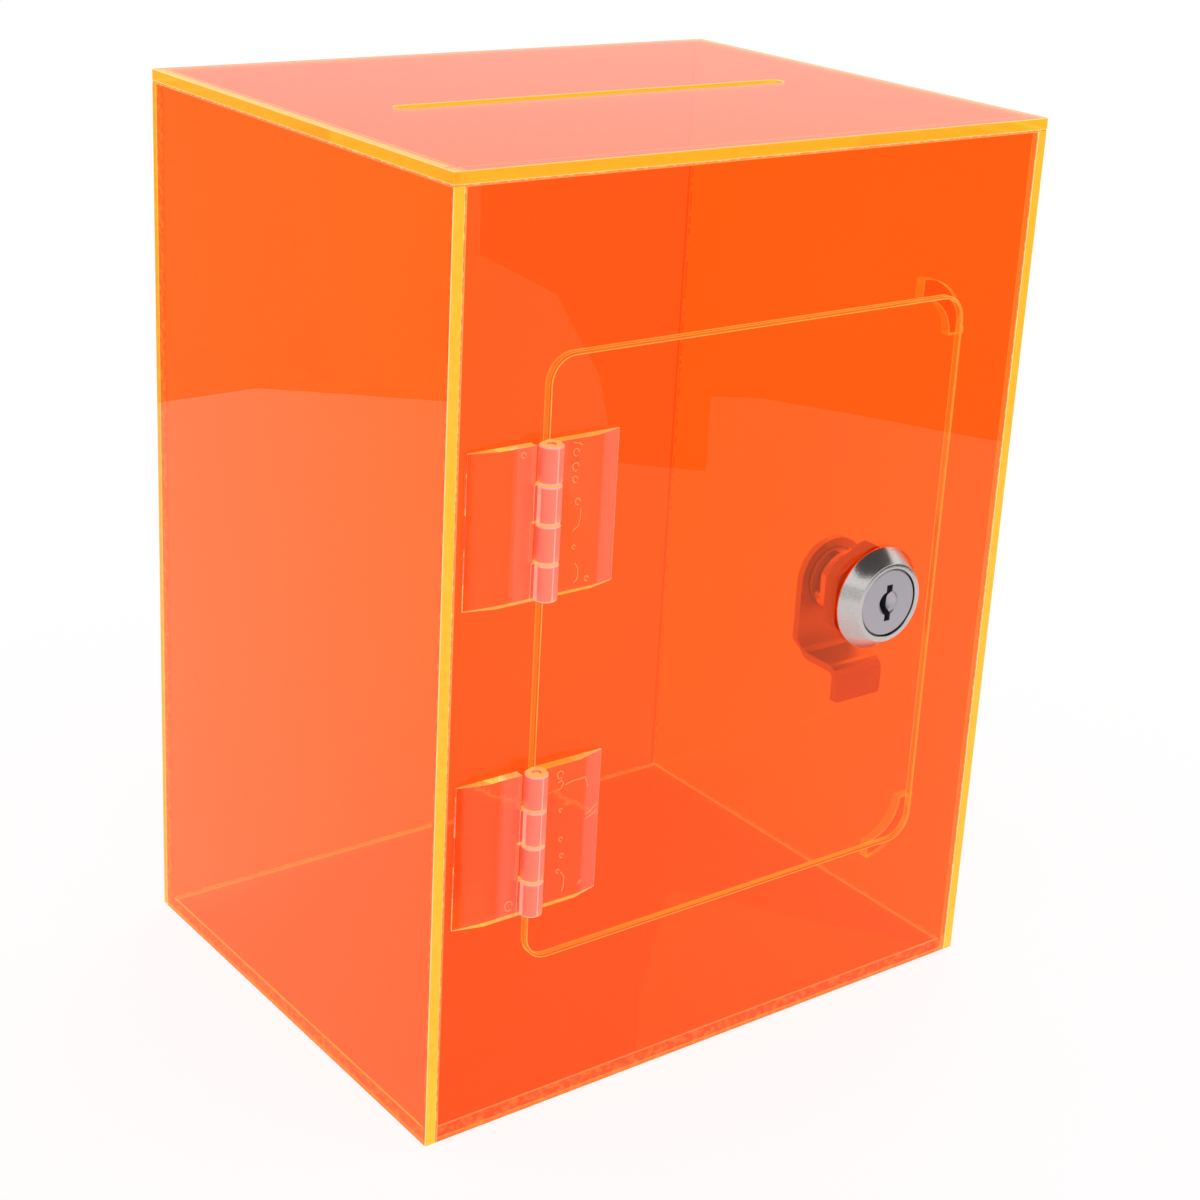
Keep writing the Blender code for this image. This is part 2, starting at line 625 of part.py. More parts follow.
def lock_cam(lock_pivot):
    """The cam: a strip bent twice, cut to its outline, with a square hole for the plug's tail."""
    strip = extruded(
        cam_strip_section(),
        lambda reach, depth: (-CAM_WIDTH / 2 - CUT_OVERRUN, depth, -reach),
        (CAM_WIDTH + 2 * CUT_OVERRUN, 0, 0),
    )
    cam = add_part("lock_cam", strip, ZINC_PLATE, LOCK_CENTRE, lock_pivot)
    blank = plate(cam_outline(), CAM_TIP_Y - CUT_OVERRUN, CAM_Y + CAM_THICKNESS + CUT_OVERRUN)
    combine(cam, blank, "cam_blank", "INTERSECT", LOCK_CENTRE)
    square = TAIL_SIDE + 2 * JOINT_GAP
    hole = plate(rectangle(square, square), CAM_Y - CUT_OVERRUN, CAM_Y + CAM_THICKNESS + CUT_OVERRUN)
    combine(cam, hole, "cam_hole", "DIFFERENCE", LOCK_CENTRE)


def cam_fasteners(lock_pivot):
    """The washer and the pan-head screw that clamp the cam to the plug's tail."""
    inner = SCREW_RADIUS + PLUG_PLAY
    washer_back = SPRING_WASHER_Y + SPRING_WASHER_THICKNESS
    washer_profile = [
        (inner, SPRING_WASHER_Y),
        (SPRING_WASHER_RADIUS, SPRING_WASHER_Y),
        (SPRING_WASHER_RADIUS, washer_back),
        (inner, washer_back),
    ]
    add_part("cam_washer", turned(washer_profile, SMALL_STEPS), ZINC_PLATE, LOCK_CENTRE, lock_pivot)
    head_profile = [(0, SCREW_HEAD_Y - SCREW_LENGTH), (SCREW_RADIUS, SCREW_HEAD_Y - SCREW_LENGTH)]
    head_profile += [(SCREW_RADIUS, SCREW_HEAD_Y), (SCREW_HEAD_RADIUS, SCREW_HEAD_Y)]
    for step in range(BEND_STEPS + 1):
        angle = math.radians(QUARTER_TURN * step / BEND_STEPS)
        rise = SCREW_HEAD_HEIGHT / 2 * (1 + math.sin(angle))
        head_profile.append((SCREW_HEAD_RADIUS * math.cos(angle), SCREW_HEAD_Y + rise))
    head_profile[-1] = (0, SCREW_HEAD_Y + SCREW_HEAD_HEIGHT)
    add_part("cam_screw", turned(head_profile, SMALL_STEPS), ZINC_PLATE, LOCK_CENTRE, lock_pivot)


def money_box():
    """Builds the whole box with its door shut and its lock open."""
    clear_scene()
    panels = box_panels()
    coin_slot(panels["top_panel"])
    door_opening(panels["front_panel"])
    corner_stop("upper_corner_stop", 1)
    corner_stop("lower_corner_stop", -1)
    door_pivot = add_pivot("door_hinge_line", (PIN_X, PIN_Y, 0))
    lock_pivot = add_pivot("lock_axis", LOCK_CENTRE, door_pivot)
    upper_bottom = OPENING_BOTTOM + OPENING_HEIGHT - UPPER_HINGE_MARGIN - HINGE_HEIGHT
    lower_bottom = OPENING_BOTTOM + LOWER_HINGE_MARGIN
    hinge("upper_hinge", upper_bottom, door_pivot)
    hinge("lower_hinge", lower_bottom, door_pivot)
    door_panel(door_pivot)
    lock_body(door_pivot)
    lock_nut(door_pivot)
    lock_plug(lock_pivot)
    stop_washer(lock_pivot)
    lock_cam(lock_pivot)
    cam_fasteners(lock_pivot)


money_box()
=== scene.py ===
"""Acrylic money box on a pale floor: fluorescent orange sheet, clear plastic hinges and a nickel cam lock."""

import math

import bmesh
import bpy
from mathutils import Matrix, Vector


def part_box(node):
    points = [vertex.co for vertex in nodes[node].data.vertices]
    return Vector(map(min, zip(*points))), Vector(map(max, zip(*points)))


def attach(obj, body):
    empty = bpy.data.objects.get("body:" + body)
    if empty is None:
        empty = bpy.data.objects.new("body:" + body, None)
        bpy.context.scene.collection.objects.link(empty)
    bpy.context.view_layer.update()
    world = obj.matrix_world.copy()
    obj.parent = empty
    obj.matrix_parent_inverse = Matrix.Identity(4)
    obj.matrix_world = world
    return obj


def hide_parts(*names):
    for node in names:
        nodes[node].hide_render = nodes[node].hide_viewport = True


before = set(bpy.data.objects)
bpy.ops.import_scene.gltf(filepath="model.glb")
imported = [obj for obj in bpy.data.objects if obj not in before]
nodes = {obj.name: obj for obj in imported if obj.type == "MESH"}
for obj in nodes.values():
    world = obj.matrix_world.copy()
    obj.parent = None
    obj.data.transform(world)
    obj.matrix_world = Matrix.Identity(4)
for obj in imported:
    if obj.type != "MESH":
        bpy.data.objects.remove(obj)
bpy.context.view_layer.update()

# Camera. A 68 mm lens looks down on the box's front left corner, a little tilted, as in the photograph.
# Clear sheet is crossed many times by one ray, so the scene allows more turns through glass than usual.
CAMERA_PLACE = (-0.3499, -0.4618, 0.3339)
CAMERA_AZIMUTH = 37.73
CAMERA_ELEVATION = 19.73
CAMERA_ROLL = 3.13

lens = bpy.data.cameras.new("studio_camera")
lens.sensor_width = 36
lens.lens = 68.19
lens.shift_y = -0.07
lens.clip_start = 0.02
camera = bpy.data.objects.new("studio_camera", lens)
bpy.context.scene.collection.objects.link(camera)
turn = Matrix.Rotation(math.radians(-CAMERA_AZIMUTH), 4, "Z")
tilt = Matrix.Rotation(math.radians(90 - CAMERA_ELEVATION), 4, "X")
roll = Matrix.Rotation(math.radians(CAMERA_ROLL), 4, "Z")
camera.matrix_world = Matrix.Translation(CAMERA_PLACE) @ turn @ tilt @ roll
bpy.context.scene.camera = camera
bpy.context.scene.view_settings.view_transform = "Standard"
bpy.context.scene.cycles.max_bounces = 32
bpy.context.scene.cycles.transmission_bounces = 32
bpy.context.scene.cycles.transparent_max_bounces = 32


# Studio light. The room is an even soft white, and one large soft box behind the box adds a little shape.
# A grey wall, two dark cards and a dark ceiling stand out of view, and only gloss mirrors them.
def linear(hex_colour):
    """Turns an sRGB colour, such as "FF5B26", to the linear values that shaders take."""
    channels = []
    for at in (0, 2, 4):
        share = int(hex_colour[at:at + 2], 16) / 255
        channels.append(share / 12.92 if share <= 0.04045 else ((share + 0.055) / 1.055) ** 2.4)
    return (*channels, 1.0)


def add_node(tree, kind, settings=None, links=None):
    """Adds a shader node, sets its properties and plain inputs, and links the inputs named in links."""
    node = tree.nodes.new(kind)
    for key, value in (settings or {}).items():
        if isinstance(key, str) and hasattr(node, key):
            setattr(node, key, value)
        else:
            node.inputs[key].default_value = value
    for key, socket in (links or {}).items():
        tree.links.new(socket, node.inputs[key])
    return node


def aim(place, target):
    """A matrix that stands a lamp at a place and points it at a target."""
    way = Vector(target) - Vector(place)
    return Matrix.Translation(place) @ way.to_track_quat("-Z", "Y").to_matrix().to_4x4()


def soft_box(name, place, width, height, power):
    """A large rectangular lamp that faces the box."""
    lamp = bpy.data.lights.new(name, "AREA")
    lamp.shape = "RECTANGLE"
    lamp.size = width
    lamp.size_y = height
    lamp.energy = power
    holder = bpy.data.objects.new(name, lamp)
    bpy.context.scene.collection.objects.link(holder)
    holder.matrix_world = aim(place, (0, 0, 0.12))


world = bpy.data.worlds.new("studio_room")
world.use_nodes = True
bpy.context.scene.world = world
room = world.node_tree
room.nodes.clear()
room_path = add_node(room, "ShaderNodeLightPath")
seen = add_node(room, "ShaderNodeMath", {"operation": "MAXIMUM"},
                {0: room_path.outputs["Is Camera Ray"], 1: room_path.outputs["Is Transmission Ray"]})
seen = add_node(room, "ShaderNodeMath", {"operation": "MAXIMUM"},
                {0: seen.outputs[0], 1: room_path.outputs["Is Glossy Ray"]})
# The room is white to the eye and in gloss, and lights the object a little less.
level = add_node(room, "ShaderNodeMapRange", {"To Min": 0.80, "To Max": 1.0}, {"Value": seen.outputs[0]})
air = add_node(room, "ShaderNodeBackground", {"Color": (1, 1, 1, 1)}, {"Strength": level.outputs[0]})
add_node(room, "ShaderNodeOutputWorld", {}, {"Surface": air.outputs[0]})

soft_box("rim_soft_box", (1.5, 1.0, 1.7), 1.2, 1.2, 6.0)


def mirrored_card(name, shade, foot, height, overhead=False):
    """A card that only gloss sees. It stands on the floor along a line of points, or hangs level overhead."""
    card_mesh = bpy.data.meshes.new(name)
    if overhead:
        card_mesh.from_pydata([(x, y, height) for x, y in foot], [], [tuple(range(len(foot)))])
    else:
        corners = [(x, y, z) for x, y in foot for z in (0.0, height)]
        card_mesh.from_pydata(corners, [], [(i, i + 1, i + 3, i + 2) for i in range(0, len(corners) - 2, 2)])
    card = bpy.data.objects.new(name, card_mesh)
    bpy.context.scene.collection.objects.link(card)
    paint = bpy.data.materials.new(name)
    paint.use_nodes = True
    paint.node_tree.nodes.clear()
    even = add_node(paint.node_tree, "ShaderNodeEmission", {"Color": (shade, shade, shade, 1)})
    add_node(paint.node_tree, "ShaderNodeOutputMaterial", {}, {"Surface": even.outputs[0]})
    card_mesh.materials.append(paint)
    card.visible_camera = False
    card.visible_diffuse = False
    card.visible_transmission = False
    card.visible_shadow = False


WALL_RADIUS = 3
WALL_STEPS = 48
# The cards are lower than the box, so its lid never mirrors them.
CARD_HEIGHT = 0.235
turns = [math.tau * i / WALL_STEPS for i in range(WALL_STEPS + 1)]
wall_line = [(WALL_RADIUS * math.cos(t), WALL_RADIUS * math.sin(t)) for t in turns]
mirrored_card("grey_studio_wall", 0.69, wall_line, 1.4)
left_line = [(0.05, 0.50), (-0.31, 0.51), (-0.36, 0.51), (-0.39, 0.485), (-0.43, 0.45), (-0.62, 0.30)]
mirrored_card("dark_card_left", 0.20, left_line, CARD_HEIGHT)
front_line = [(0.60, -0.20), (0.455, -0.415), (0.425, -0.475), (0.40, -0.52), (0.375, -0.535),
              (0.30, -0.44), (0.27, -0.47), (0.35, -0.59), (0.43, -0.74), (0.445, -0.845)]
mirrored_card("dark_card_front", 0.06, front_line, CARD_HEIGHT)
# The dark ceiling above the front shows in the upper part of the lock's bezel.
ceiling_line = [(-0.85, -0.95), (0.3, -1.05), (1.15, -0.5), (1.3, 0.0), (0.9, 0.1), (-0.3, -0.15)]
mirrored_card("dark_ceiling", 0.08, ceiling_line, 1.2, overhead=True)

# Floor. A wide matt white sheet, which fades into the room and keeps the soft orange shadow of the box.
# It lies a little low, so it never coincides with the box's foot.
FLOOR_SIDE = 60
FLOOR_DROP = 0.0003
bpy.ops.object.select_all(action="DESELECT")
bpy.ops.mesh.primitive_plane_add(size=FLOOR_SIDE, location=(0, 0, -FLOOR_DROP))
floor = bpy.context.object
floor.name = "studio_floor"
floor_paint = bpy.data.materials.new("matt_white_floor")
floor_paint.use_nodes = True
floor_tree = floor_paint.node_tree
floor_tree.nodes.clear()
matt = add_node(floor_tree, "ShaderNodeBsdfDiffuse", {"Color": linear("FAFAFA")})
bright = add_node(floor_tree, "ShaderNodeEmission", {"Color": (1, 1, 1, 1), "Strength": 1.03})
floor_path = add_node(floor_tree, "ShaderNodeLightPath")
# The camera sees it nearly as white as the backdrop. Through the sheets and in their gloss it is more
# as it is lit, with the orange light that the box throws on it.
share = add_node(floor_tree, "ShaderNodeMath", {"operation": "MULTIPLY", 1: 0.86},
                 {0: floor_path.outputs["Is Camera Ray"]})
for ray, part in (("Is Transmission Ray", 0.60), ("Is Glossy Ray", 0.45)):
    other = add_node(floor_tree, "ShaderNodeMath", {"operation": "MULTIPLY", 1: part},
                     {0: floor_path.outputs[ray]})
    share = add_node(floor_tree, "ShaderNodeMath", {"operation": "MAXIMUM"},
                     {0: share.outputs[0], 1: other.outputs[0]})
lit = add_node(floor_tree, "ShaderNodeMixShader", {},
               {0: share.outputs[0], 1: matt.outputs[0], 2: bright.outputs[0]})
add_node(floor_tree, "ShaderNodeOutputMaterial", {}, {"Surface": lit.outputs[0]})
floor.data.materials.append(floor_paint)


# Fluorescent acrylic. Cast sheet dyed with a red-orange dye that turns the light it takes up into its own
# glow. The polished faces pass orange light, and the glow leaves by the cut edges, which look yellow.
EDGE_EASE = 0.0002
CUT_ROUGHNESS = 0.18
# How squarely a face looks along the sheet's axis, and an eased corner as a middle and a half width.
FACE_ON = 0.96
CORNER_ON = (0.6, 0.34)
# An edge is a free one if it looks along the free axis by more than this.
FREE_ON = 0.3
# Each dye is the two tints that a sheet drifts between.
SIDE_DYE = ("FEA23E", "FEA642")
FRONT_DYE = ("FE8E56", "FE925A")
LID_DYE = ("FE9852", "FE9C56")
STOP_DYE = ("FED0B0", "FED4B4")
# Each kind of edge is the low and high glow across its cut, the painted highlight of its eased corner, and
# its own tint.
LASER_CUT = ("96540C", "A26012", "D48C48", "FE9852")
SAWN = ("F0B42E", "FCCC3C", "FFDC90", "96481C")
LID_SAWN = ("D8981C", "E4A424", "FFD488", "7C3C18")
BURIED = ("FFB484", "FFBC90", "FFE4D4", "96481C")
DULL = ("B44C1C", "BC5420", "C86430", "96481C")
STOP_CUT = ("E09A3C", "E8A244", "FFCC88", "96481C")
# An edge that is cemented to another sheet glows less: its flat, then the painted highlight of its eased
# corner.
CEMENTED_GLOW = ("DC7434", "E47C48")


def fluorescent_acrylic(name, across, dye, glow_low, glow_high, painted_ease_highlight, edge_tint,
                        painted_bands=(), free_axis=None, opening=None):
    """Cast sheet whose faces lie across one axis, so that all its other faces are cut edges.

    The painted bands are bands of a face with painted glow or painted shade, each an axis, a middle, a half
    width and that colour.
    free_axis is the axis that the free edges face, and opening the low and high corner round them.
    Where either is given, the other edges are cemented to another sheet and glow less.
    """
    material = bpy.data.materials.new(name)
    material.use_nodes = True
    tree = material.node_tree
    tree.nodes.clear()
    place = add_node(tree, "ShaderNodeTexCoord")
    facing = add_node(tree, "ShaderNodeVectorMath", {"operation": "DOT_PRODUCT", 1: across},
                      {0: place.outputs["Normal"]})
    facing = add_node(tree, "ShaderNodeMath", {"operation": "ABSOLUTE"}, {0: facing.outputs["Value"]})
    # A face lies square to the axis, a cut edge along it, and an eased corner between the two.
    edge = add_node(tree, "ShaderNodeMath", {"operation": "LESS_THAN", 1: FACE_ON}, {0: facing.outputs[0]})
    ease = add_node(tree, "ShaderNodeMath", {"operation": "COMPARE", 1: CORNER_ON[0], 2: CORNER_ON[1]},
                    {0: facing.outputs[0]})
    # The dye varies by a per cent or two over about 60 mm of a cast sheet.
    cloud = add_node(tree, "ShaderNodeTexNoise", {"Scale": 16.0, "Detail": 2.0},
                     {"Vector": place.outputs["Object"]})
    face_tint = add_node(tree, "ShaderNodeMix",
                         {"data_type": "RGBA", 6: linear(dye[0]), 7: linear(dye[1])},
                         {"Factor": cloud.outputs["Fac"]})
    tint = add_node(tree, "ShaderNodeMix", {"data_type": "RGBA", 7: linear(edge_tint)},
                    {"Factor": edge.outputs[0], 6: face_tint.outputs[2]})
    # Saw marks cross the edge about every 2 mm, and pass a little less of the glow.
    saw = add_node(tree, "ShaderNodeTexNoise", {"Scale": 500.0, "Detail": 2.0},
                   {"Vector": place.outputs["Object"]})
    edge_glow = add_node(tree, "ShaderNodeMix",
                         {"data_type": "RGBA", 6: linear(glow_low), 7: linear(glow_high)},
                         {"Factor": saw.outputs["Fac"]})
    # The eased corner gets a painted highlight line, as a paler glow.
    edge_glow = add_node(tree, "ShaderNodeMix", {"data_type": "RGBA", 7: linear(painted_ease_highlight)},
                         {"Factor": ease.outputs[0], 6: edge_glow.outputs[2]})
    where = add_node(tree, "ShaderNodeSeparateXYZ", {}, {0: place.outputs["Object"]})
    if free_axis or opening:
        if free_axis:
            free = add_node(tree, "ShaderNodeVectorMath", {"operation": "DOT_PRODUCT", 1: free_axis},
                            {0: place.outputs["Normal"]})
            free = add_node(tree, "ShaderNodeMath", {"operation": "ABSOLUTE"}, {0: free.outputs["Value"]})
            free = add_node(tree, "ShaderNodeMath", {"operation": "GREATER_THAN", 1: FREE_ON},
                            {0: free.outputs[0]})
        else:
            beside, above = (
                add_node(tree, "ShaderNodeMath",
                         {"operation": "COMPARE", 1: (opening[0][axis] + opening[1][axis]) / 2,
                          2: (opening[1][axis] - opening[0][axis]) / 2 + EDGE_EASE},
                         {0: where.outputs["XYZ"[axis]]})
                for axis in (0, 2)
            )
            free = add_node(tree, "ShaderNodeMath", {"operation": "MULTIPLY"},
                            {0: beside.outputs[0], 1: above.outputs[0]})
        joint = add_node(tree, "ShaderNodeMix",
                         {"data_type": "RGBA", 6: linear(CEMENTED_GLOW[0]), 7: linear(CEMENTED_GLOW[1])},
                         {"Factor": ease.outputs[0]})
        edge_glow = add_node(tree, "ShaderNodeMix", {"data_type": "RGBA"},
                             {"Factor": free.outputs[0], 6: joint.outputs[2], 7: edge_glow.outputs[2]})
    # A little of the dye's glow leaves by the faces too.
    face_glow = add_node(tree, "ShaderNodeMix",
                         {"data_type": "RGBA", 6: linear("571300"), 7: linear("5B1500")},
                         {"Factor": cloud.outputs["Fac"]})
    # Each painted band swaps the face's glow for a painted pale glow or a painted dark line.
    for axis, middle, half, shade in painted_bands:
        painted_band = add_node(tree, "ShaderNodeMath", {"operation": "COMPARE", 1: middle, 2: half},
                        {0: where.outputs[axis]})
        face_glow = add_node(tree, "ShaderNodeMix", {"data_type": "RGBA", 7: linear(shade)},
                             {"Factor": painted_band.outputs[0], 6: face_glow.outputs[2]})
    glow = add_node(tree, "ShaderNodeMix", {"data_type": "RGBA"},
                    {"Factor": edge.outputs[0], 6: face_glow.outputs[2], 7: edge_glow.outputs[2]})
    grind = add_node(tree, "ShaderNodeMapRange", {"To Min": 0.0, "To Max": CUT_ROUGHNESS},
                     {"Value": edge.outputs[0]})
    # The orange specular tint is a painted reflection colour. It stands for the orange light that the box
    # throws on the floor that its faces mirror.
    sheet = add_node(tree, "ShaderNodeBsdfPrincipled",
                     {"IOR": 1.49, "Transmission Weight": 1.0, "Specular Tint": (1.0, 0.5, 0.18, 1),
                      "Emission Strength": 1.0},
                     {"Base Color": tint.outputs[2], "Roughness": grind.outputs[0],
                      "Emission Color": glow.outputs[2]})
    # Light from the lamps passes both faces, each taking the root of the sheet's tint.
    root = add_node(tree, "ShaderNodeGamma", {"Gamma": 0.5}, {"Color": face_tint.outputs[2]})
    passed = add_node(tree, "ShaderNodeBsdfTransparent", {}, {"Color": root.outputs[0]})
    path = add_node(tree, "ShaderNodeLightPath")
    lamp = add_node(tree, "ShaderNodeMath", {"operation": "MAXIMUM"},
                    {0: path.outputs["Is Shadow Ray"], 1: path.outputs["Is Diffuse Ray"]})
    both = add_node(tree, "ShaderNodeMixShader", {},
                    {0: lamp.outputs[0], 1: sheet.outputs[0], 2: passed.outputs[0]})
    add_node(tree, "ShaderNodeOutputMaterial", {}, {"Surface": both.outputs[0]})
    return material


# Points nearer than this count as one.
SAME_PLACE = 0.000001


def start_piece(name, low, high):
    """A block between two corners, as the stock that a piece is shaped from."""
    bpy.ops.object.select_all(action="DESELECT")
    middle = [(a + b) / 2 for a, b in zip(low, high)]
    bpy.ops.mesh.primitive_cube_add(size=1, location=middle)
    piece = bpy.context.object
    piece.name = name
    piece.scale = [b - a for a, b in zip(low, high)]
    bpy.ops.object.transform_apply(location=True, rotation=True, scale=True)
    return piece


def pick(piece, kind, wanted):
    """In edit mode, selects only the edges or faces that pass a test."""
    bpy.ops.mesh.select_mode(type="EDGE" if kind == "edges" else "FACE")
    bpy.ops.mesh.select_all(action="DESELECT")
    mesh = bmesh.from_edit_mesh(piece.data)
    for element in getattr(mesh, kind):
        if wanted(element):
            element.select_set(True)
    bmesh.update_edit_mesh(piece.data)


def lies_along(edge, axis):
    """True for an edge that runs along one axis, 0 for X, 1 for Y and 2 for Z."""
    way = edge.verts[1].co - edge.verts[0].co
    return abs(way[axis]) > 0.999 * way.length


def cut_opening(piece, across, low, high, radius, steps):
    """Cuts a window with rounded corners through a block, across one axis, leaving clean faces round it."""
    bpy.context.view_layer.objects.active = piece
    bpy.ops.object.mode_set(mode="EDIT")
    sides = [axis for axis in (0, 1, 2) if axis != across]
    for axis in sides:
        for at in (low[axis], high[axis]):
            normal = [0.0, 0.0, 0.0]
            normal[axis] = 1.0
            point = [0.0, 0.0, 0.0]
            point[axis] = at
            bpy.ops.mesh.select_all(action="SELECT")
            bpy.ops.mesh.bisect(plane_co=point, plane_no=normal)

    def inside(element):
        middle = sum((v.co for v in element.verts), Vector()) / len(element.verts)
        return all(low[axis] - SAME_PLACE < middle[axis] < high[axis] + SAME_PLACE for axis in sides)

    pick(piece, "faces", lambda face: inside(face) and abs(face.normal[across]) > 0.9)
    bpy.ops.mesh.bridge_edge_loops()
    pick(piece, "edges", lambda edge: lies_along(edge, across) and inside(edge))
    bpy.ops.mesh.bevel(offset=radius, segments=steps, affect="EDGES")
    bpy.ops.object.mode_set(mode="OBJECT")


def round_corners(piece, across, radius, steps):
    """Rounds the corners of a block that is cut from a sheet across one axis."""
    bpy.context.view_layer.objects.active = piece
    bpy.ops.object.mode_set(mode="EDIT")
    pick(piece, "edges", lambda edge: lies_along(edge, across))
    bpy.ops.mesh.bevel(offset=radius, segments=steps, affect="EDGES")
    bpy.ops.object.mode_set(mode="OBJECT")


def ease_edges(piece, width, segments):
    """Rounds the sharp edges of a piece by a small width."""
    bpy.context.view_layer.objects.active = piece
    easing = piece.modifiers.new("eased_edges", "BEVEL")
    easing.width = width
    easing.segments = segments
    easing.limit_method = "ANGLE"
    easing.angle_limit = math.radians(40)
    bpy.ops.object.modifier_apply(modifier="eased_edges")


def cut_away(piece, cutter):
    """Takes the shape of a cutter out of a piece."""
    bpy.context.view_layer.objects.active = piece
    cut = piece.modifiers.new("cut", "BOOLEAN")
    cut.operation = "DIFFERENCE"
    cut.solver = "EXACT"
    cut.object = cutter
    bpy.ops.object.modifier_apply(modifier="cut")
    bpy.data.objects.remove(cutter)


def hand_over(piece, node, body, material):
    """Gives a piece its material and its body, and hides the node that it stands for."""
    piece.data.materials.clear()
    piece.data.materials.append(material)
    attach(piece, body)
    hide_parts(node)


def eased_copy(node, piece_name, body, material, width, segments, smooth=None, round_first=None):
    """Copies a piece of the frame, joins its triangles and rounds its sharp edges."""
    piece = bpy.data.objects.new(piece_name, nodes[node].data.copy())
    bpy.context.scene.collection.objects.link(piece)
    bpy.ops.object.select_all(action="DESELECT")
    piece.select_set(True)
    bpy.context.view_layer.objects.active = piece
    bpy.ops.object.mode_set(mode="EDIT")
    bpy.ops.mesh.select_all(action="SELECT")
    bpy.ops.mesh.remove_doubles(threshold=SAME_PLACE)
    bpy.ops.mesh.dissolve_limited(angle_limit=math.radians(1))
    if round_first:
        wanted, radius, steps = round_first
        pick(piece, "edges", wanted)
        bpy.ops.mesh.bevel(offset=radius, segments=steps, affect="EDGES", clamp_overlap=True)
    bpy.ops.object.mode_set(mode="OBJECT")
    ease_edges(piece, width, segments)
    if smooth:
        bpy.ops.object.shade_smooth_by_angle(angle=math.radians(smooth))
    hand_over(piece, node, body, material)


# The wall tops under the lid are painted on it as pale glow bands, with a painted dark line beside the left
# and front ones.
PAINTED_WALL_TOP_BANDS = (
    ("X", -0.0887, 0.0010, "958C00"),
    ("X", -0.0874, 0.0003, "1A0200"),
    ("X", -0.0868, 0.0003, "8A7820"),
    ("Y", -0.0664, 0.0004, "904C40"),
    ("Y", -0.0656, 0.0003, "240200"),
    ("X", 0.0885, 0.0010, "A06038"),
    ("Y", 0.0685, 0.0010, "904C40"),
)
OPENING_LOW = (-0.0627, 0, 0.0427)
OPENING_HIGH = (0.0666, 0, 0.1967)
OPENING_RADIUS = 0.007
acrylic_lid = fluorescent_acrylic("fluorescent_acrylic_lid", (0, 0, 1), LID_DYE, *LID_SAWN, painted_bands=PAINTED_WALL_TOP_BANDS)
acrylic_side = fluorescent_acrylic("fluorescent_acrylic_side", (1, 0, 0), SIDE_DYE, *SAWN,
                                   free_axis=(0, 1, 0))
acrylic_door = fluorescent_acrylic("fluorescent_acrylic_door", (0, 1, 0), FRONT_DYE, *LASER_CUT)
acrylic_front = fluorescent_acrylic("fluorescent_acrylic_front", (0, 1, 0), FRONT_DYE, *LASER_CUT,
                                    opening=(OPENING_LOW, OPENING_HIGH))
acrylic_back = fluorescent_acrylic("fluorescent_acrylic_back", (0, 1, 0), LID_DYE, *DULL)
acrylic_stop = fluorescent_acrylic("fluorescent_acrylic_stop", (0, 1, 0), STOP_DYE, *STOP_CUT)
acrylic_floor = fluorescent_acrylic("fluorescent_acrylic_floor", (0, 0, 1), LID_DYE, *BURIED)
# The back and the floor are scraped more at their corners, which are buried in cement.
for node, material, ease in (
    ("left_panel", acrylic_side, EDGE_EASE),
    ("right_panel", acrylic_side, EDGE_EASE),
    ("back_panel", acrylic_back, 2 * EDGE_EASE),
    ("bottom_panel", acrylic_floor, 2 * EDGE_EASE),
):
    wall = start_piece(node + "_sheet", *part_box(node))
    ease_edges(wall, ease, 1)
    hand_over(wall, node, "box", material)

# The coin slot's ends are full rounds, so their radius is a hair under half its width.
SLOT_HIGH = (0.061, 0.0025, 0)
SLOT_LOW = (-0.061, -0.0025, 0)
SLOT_END_RADIUS = 0.00249
lid = start_piece("top_panel_sheet", *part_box("top_panel"))
cut_opening(lid, 2, SLOT_LOW, SLOT_HIGH, SLOT_END_RADIUS, 8)
ease_edges(lid, EDGE_EASE, 1)
hand_over(lid, "top_panel", "box", acrylic_lid)

front = start_piece("front_panel_sheet", *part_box("front_panel"))
cut_opening(front, 1, OPENING_LOW, OPENING_HIGH, OPENING_RADIUS, 10)
ease_edges(front, EDGE_EASE, 1)
hand_over(front, "front_panel", "box", acrylic_front)

for node in ("upper_corner_stop", "lower_corner_stop"):
    eased_copy(node, node + "_ring", "box", acrylic_stop, EDGE_EASE, 1)

# Cement. Solvent cement fills the 0.3 mm joints between the glued sheets, with small bubbles in it.
# Each seam is one strip that keeps 0.1 mm inside the sheets' edges, given by its low and high corners.
solvent_cement = bpy.data.materials.new("solvent_cement")
solvent_cement.use_nodes = True
seam_tree = solvent_cement.node_tree
seam_place = add_node(seam_tree, "ShaderNodeTexCoord")
# Bubbles and dry spots lie about 2 mm apart.
dry = add_node(seam_tree, "ShaderNodeTexNoise", {"Scale": 600.0, "Detail": 2.0},
               {"Vector": seam_place.outputs["Object"]})
patch = add_node(seam_tree, "ShaderNodeMapRange", {"From Min": 0.45, "From Max": 0.62},
                 {"Value": dry.outputs["Fac"]})
seam_tint = add_node(seam_tree, "ShaderNodeMix",
                     {"data_type": "RGBA", 6: linear("C85A20"), 7: linear("F09858")},
                     {"Factor": patch.outputs[0]})
seam_glow = add_node(seam_tree, "ShaderNodeMix",
                     {"data_type": "RGBA", 6: linear("C86830"), 7: linear("D88C58")},
                     {"Factor": patch.outputs[0]})
seam_shader = seam_tree.nodes["Principled BSDF"]
seam_tree.links.new(seam_tint.outputs[2], seam_shader.inputs["Base Color"])
seam_tree.links.new(seam_glow.outputs[2], seam_shader.inputs["Emission Color"])
seam_shader.inputs["Emission Strength"].default_value = 1.0
seam_shader.inputs["Roughness"].default_value = 0.4
seam_shader.inputs["Transmission Weight"].default_value = 0.4
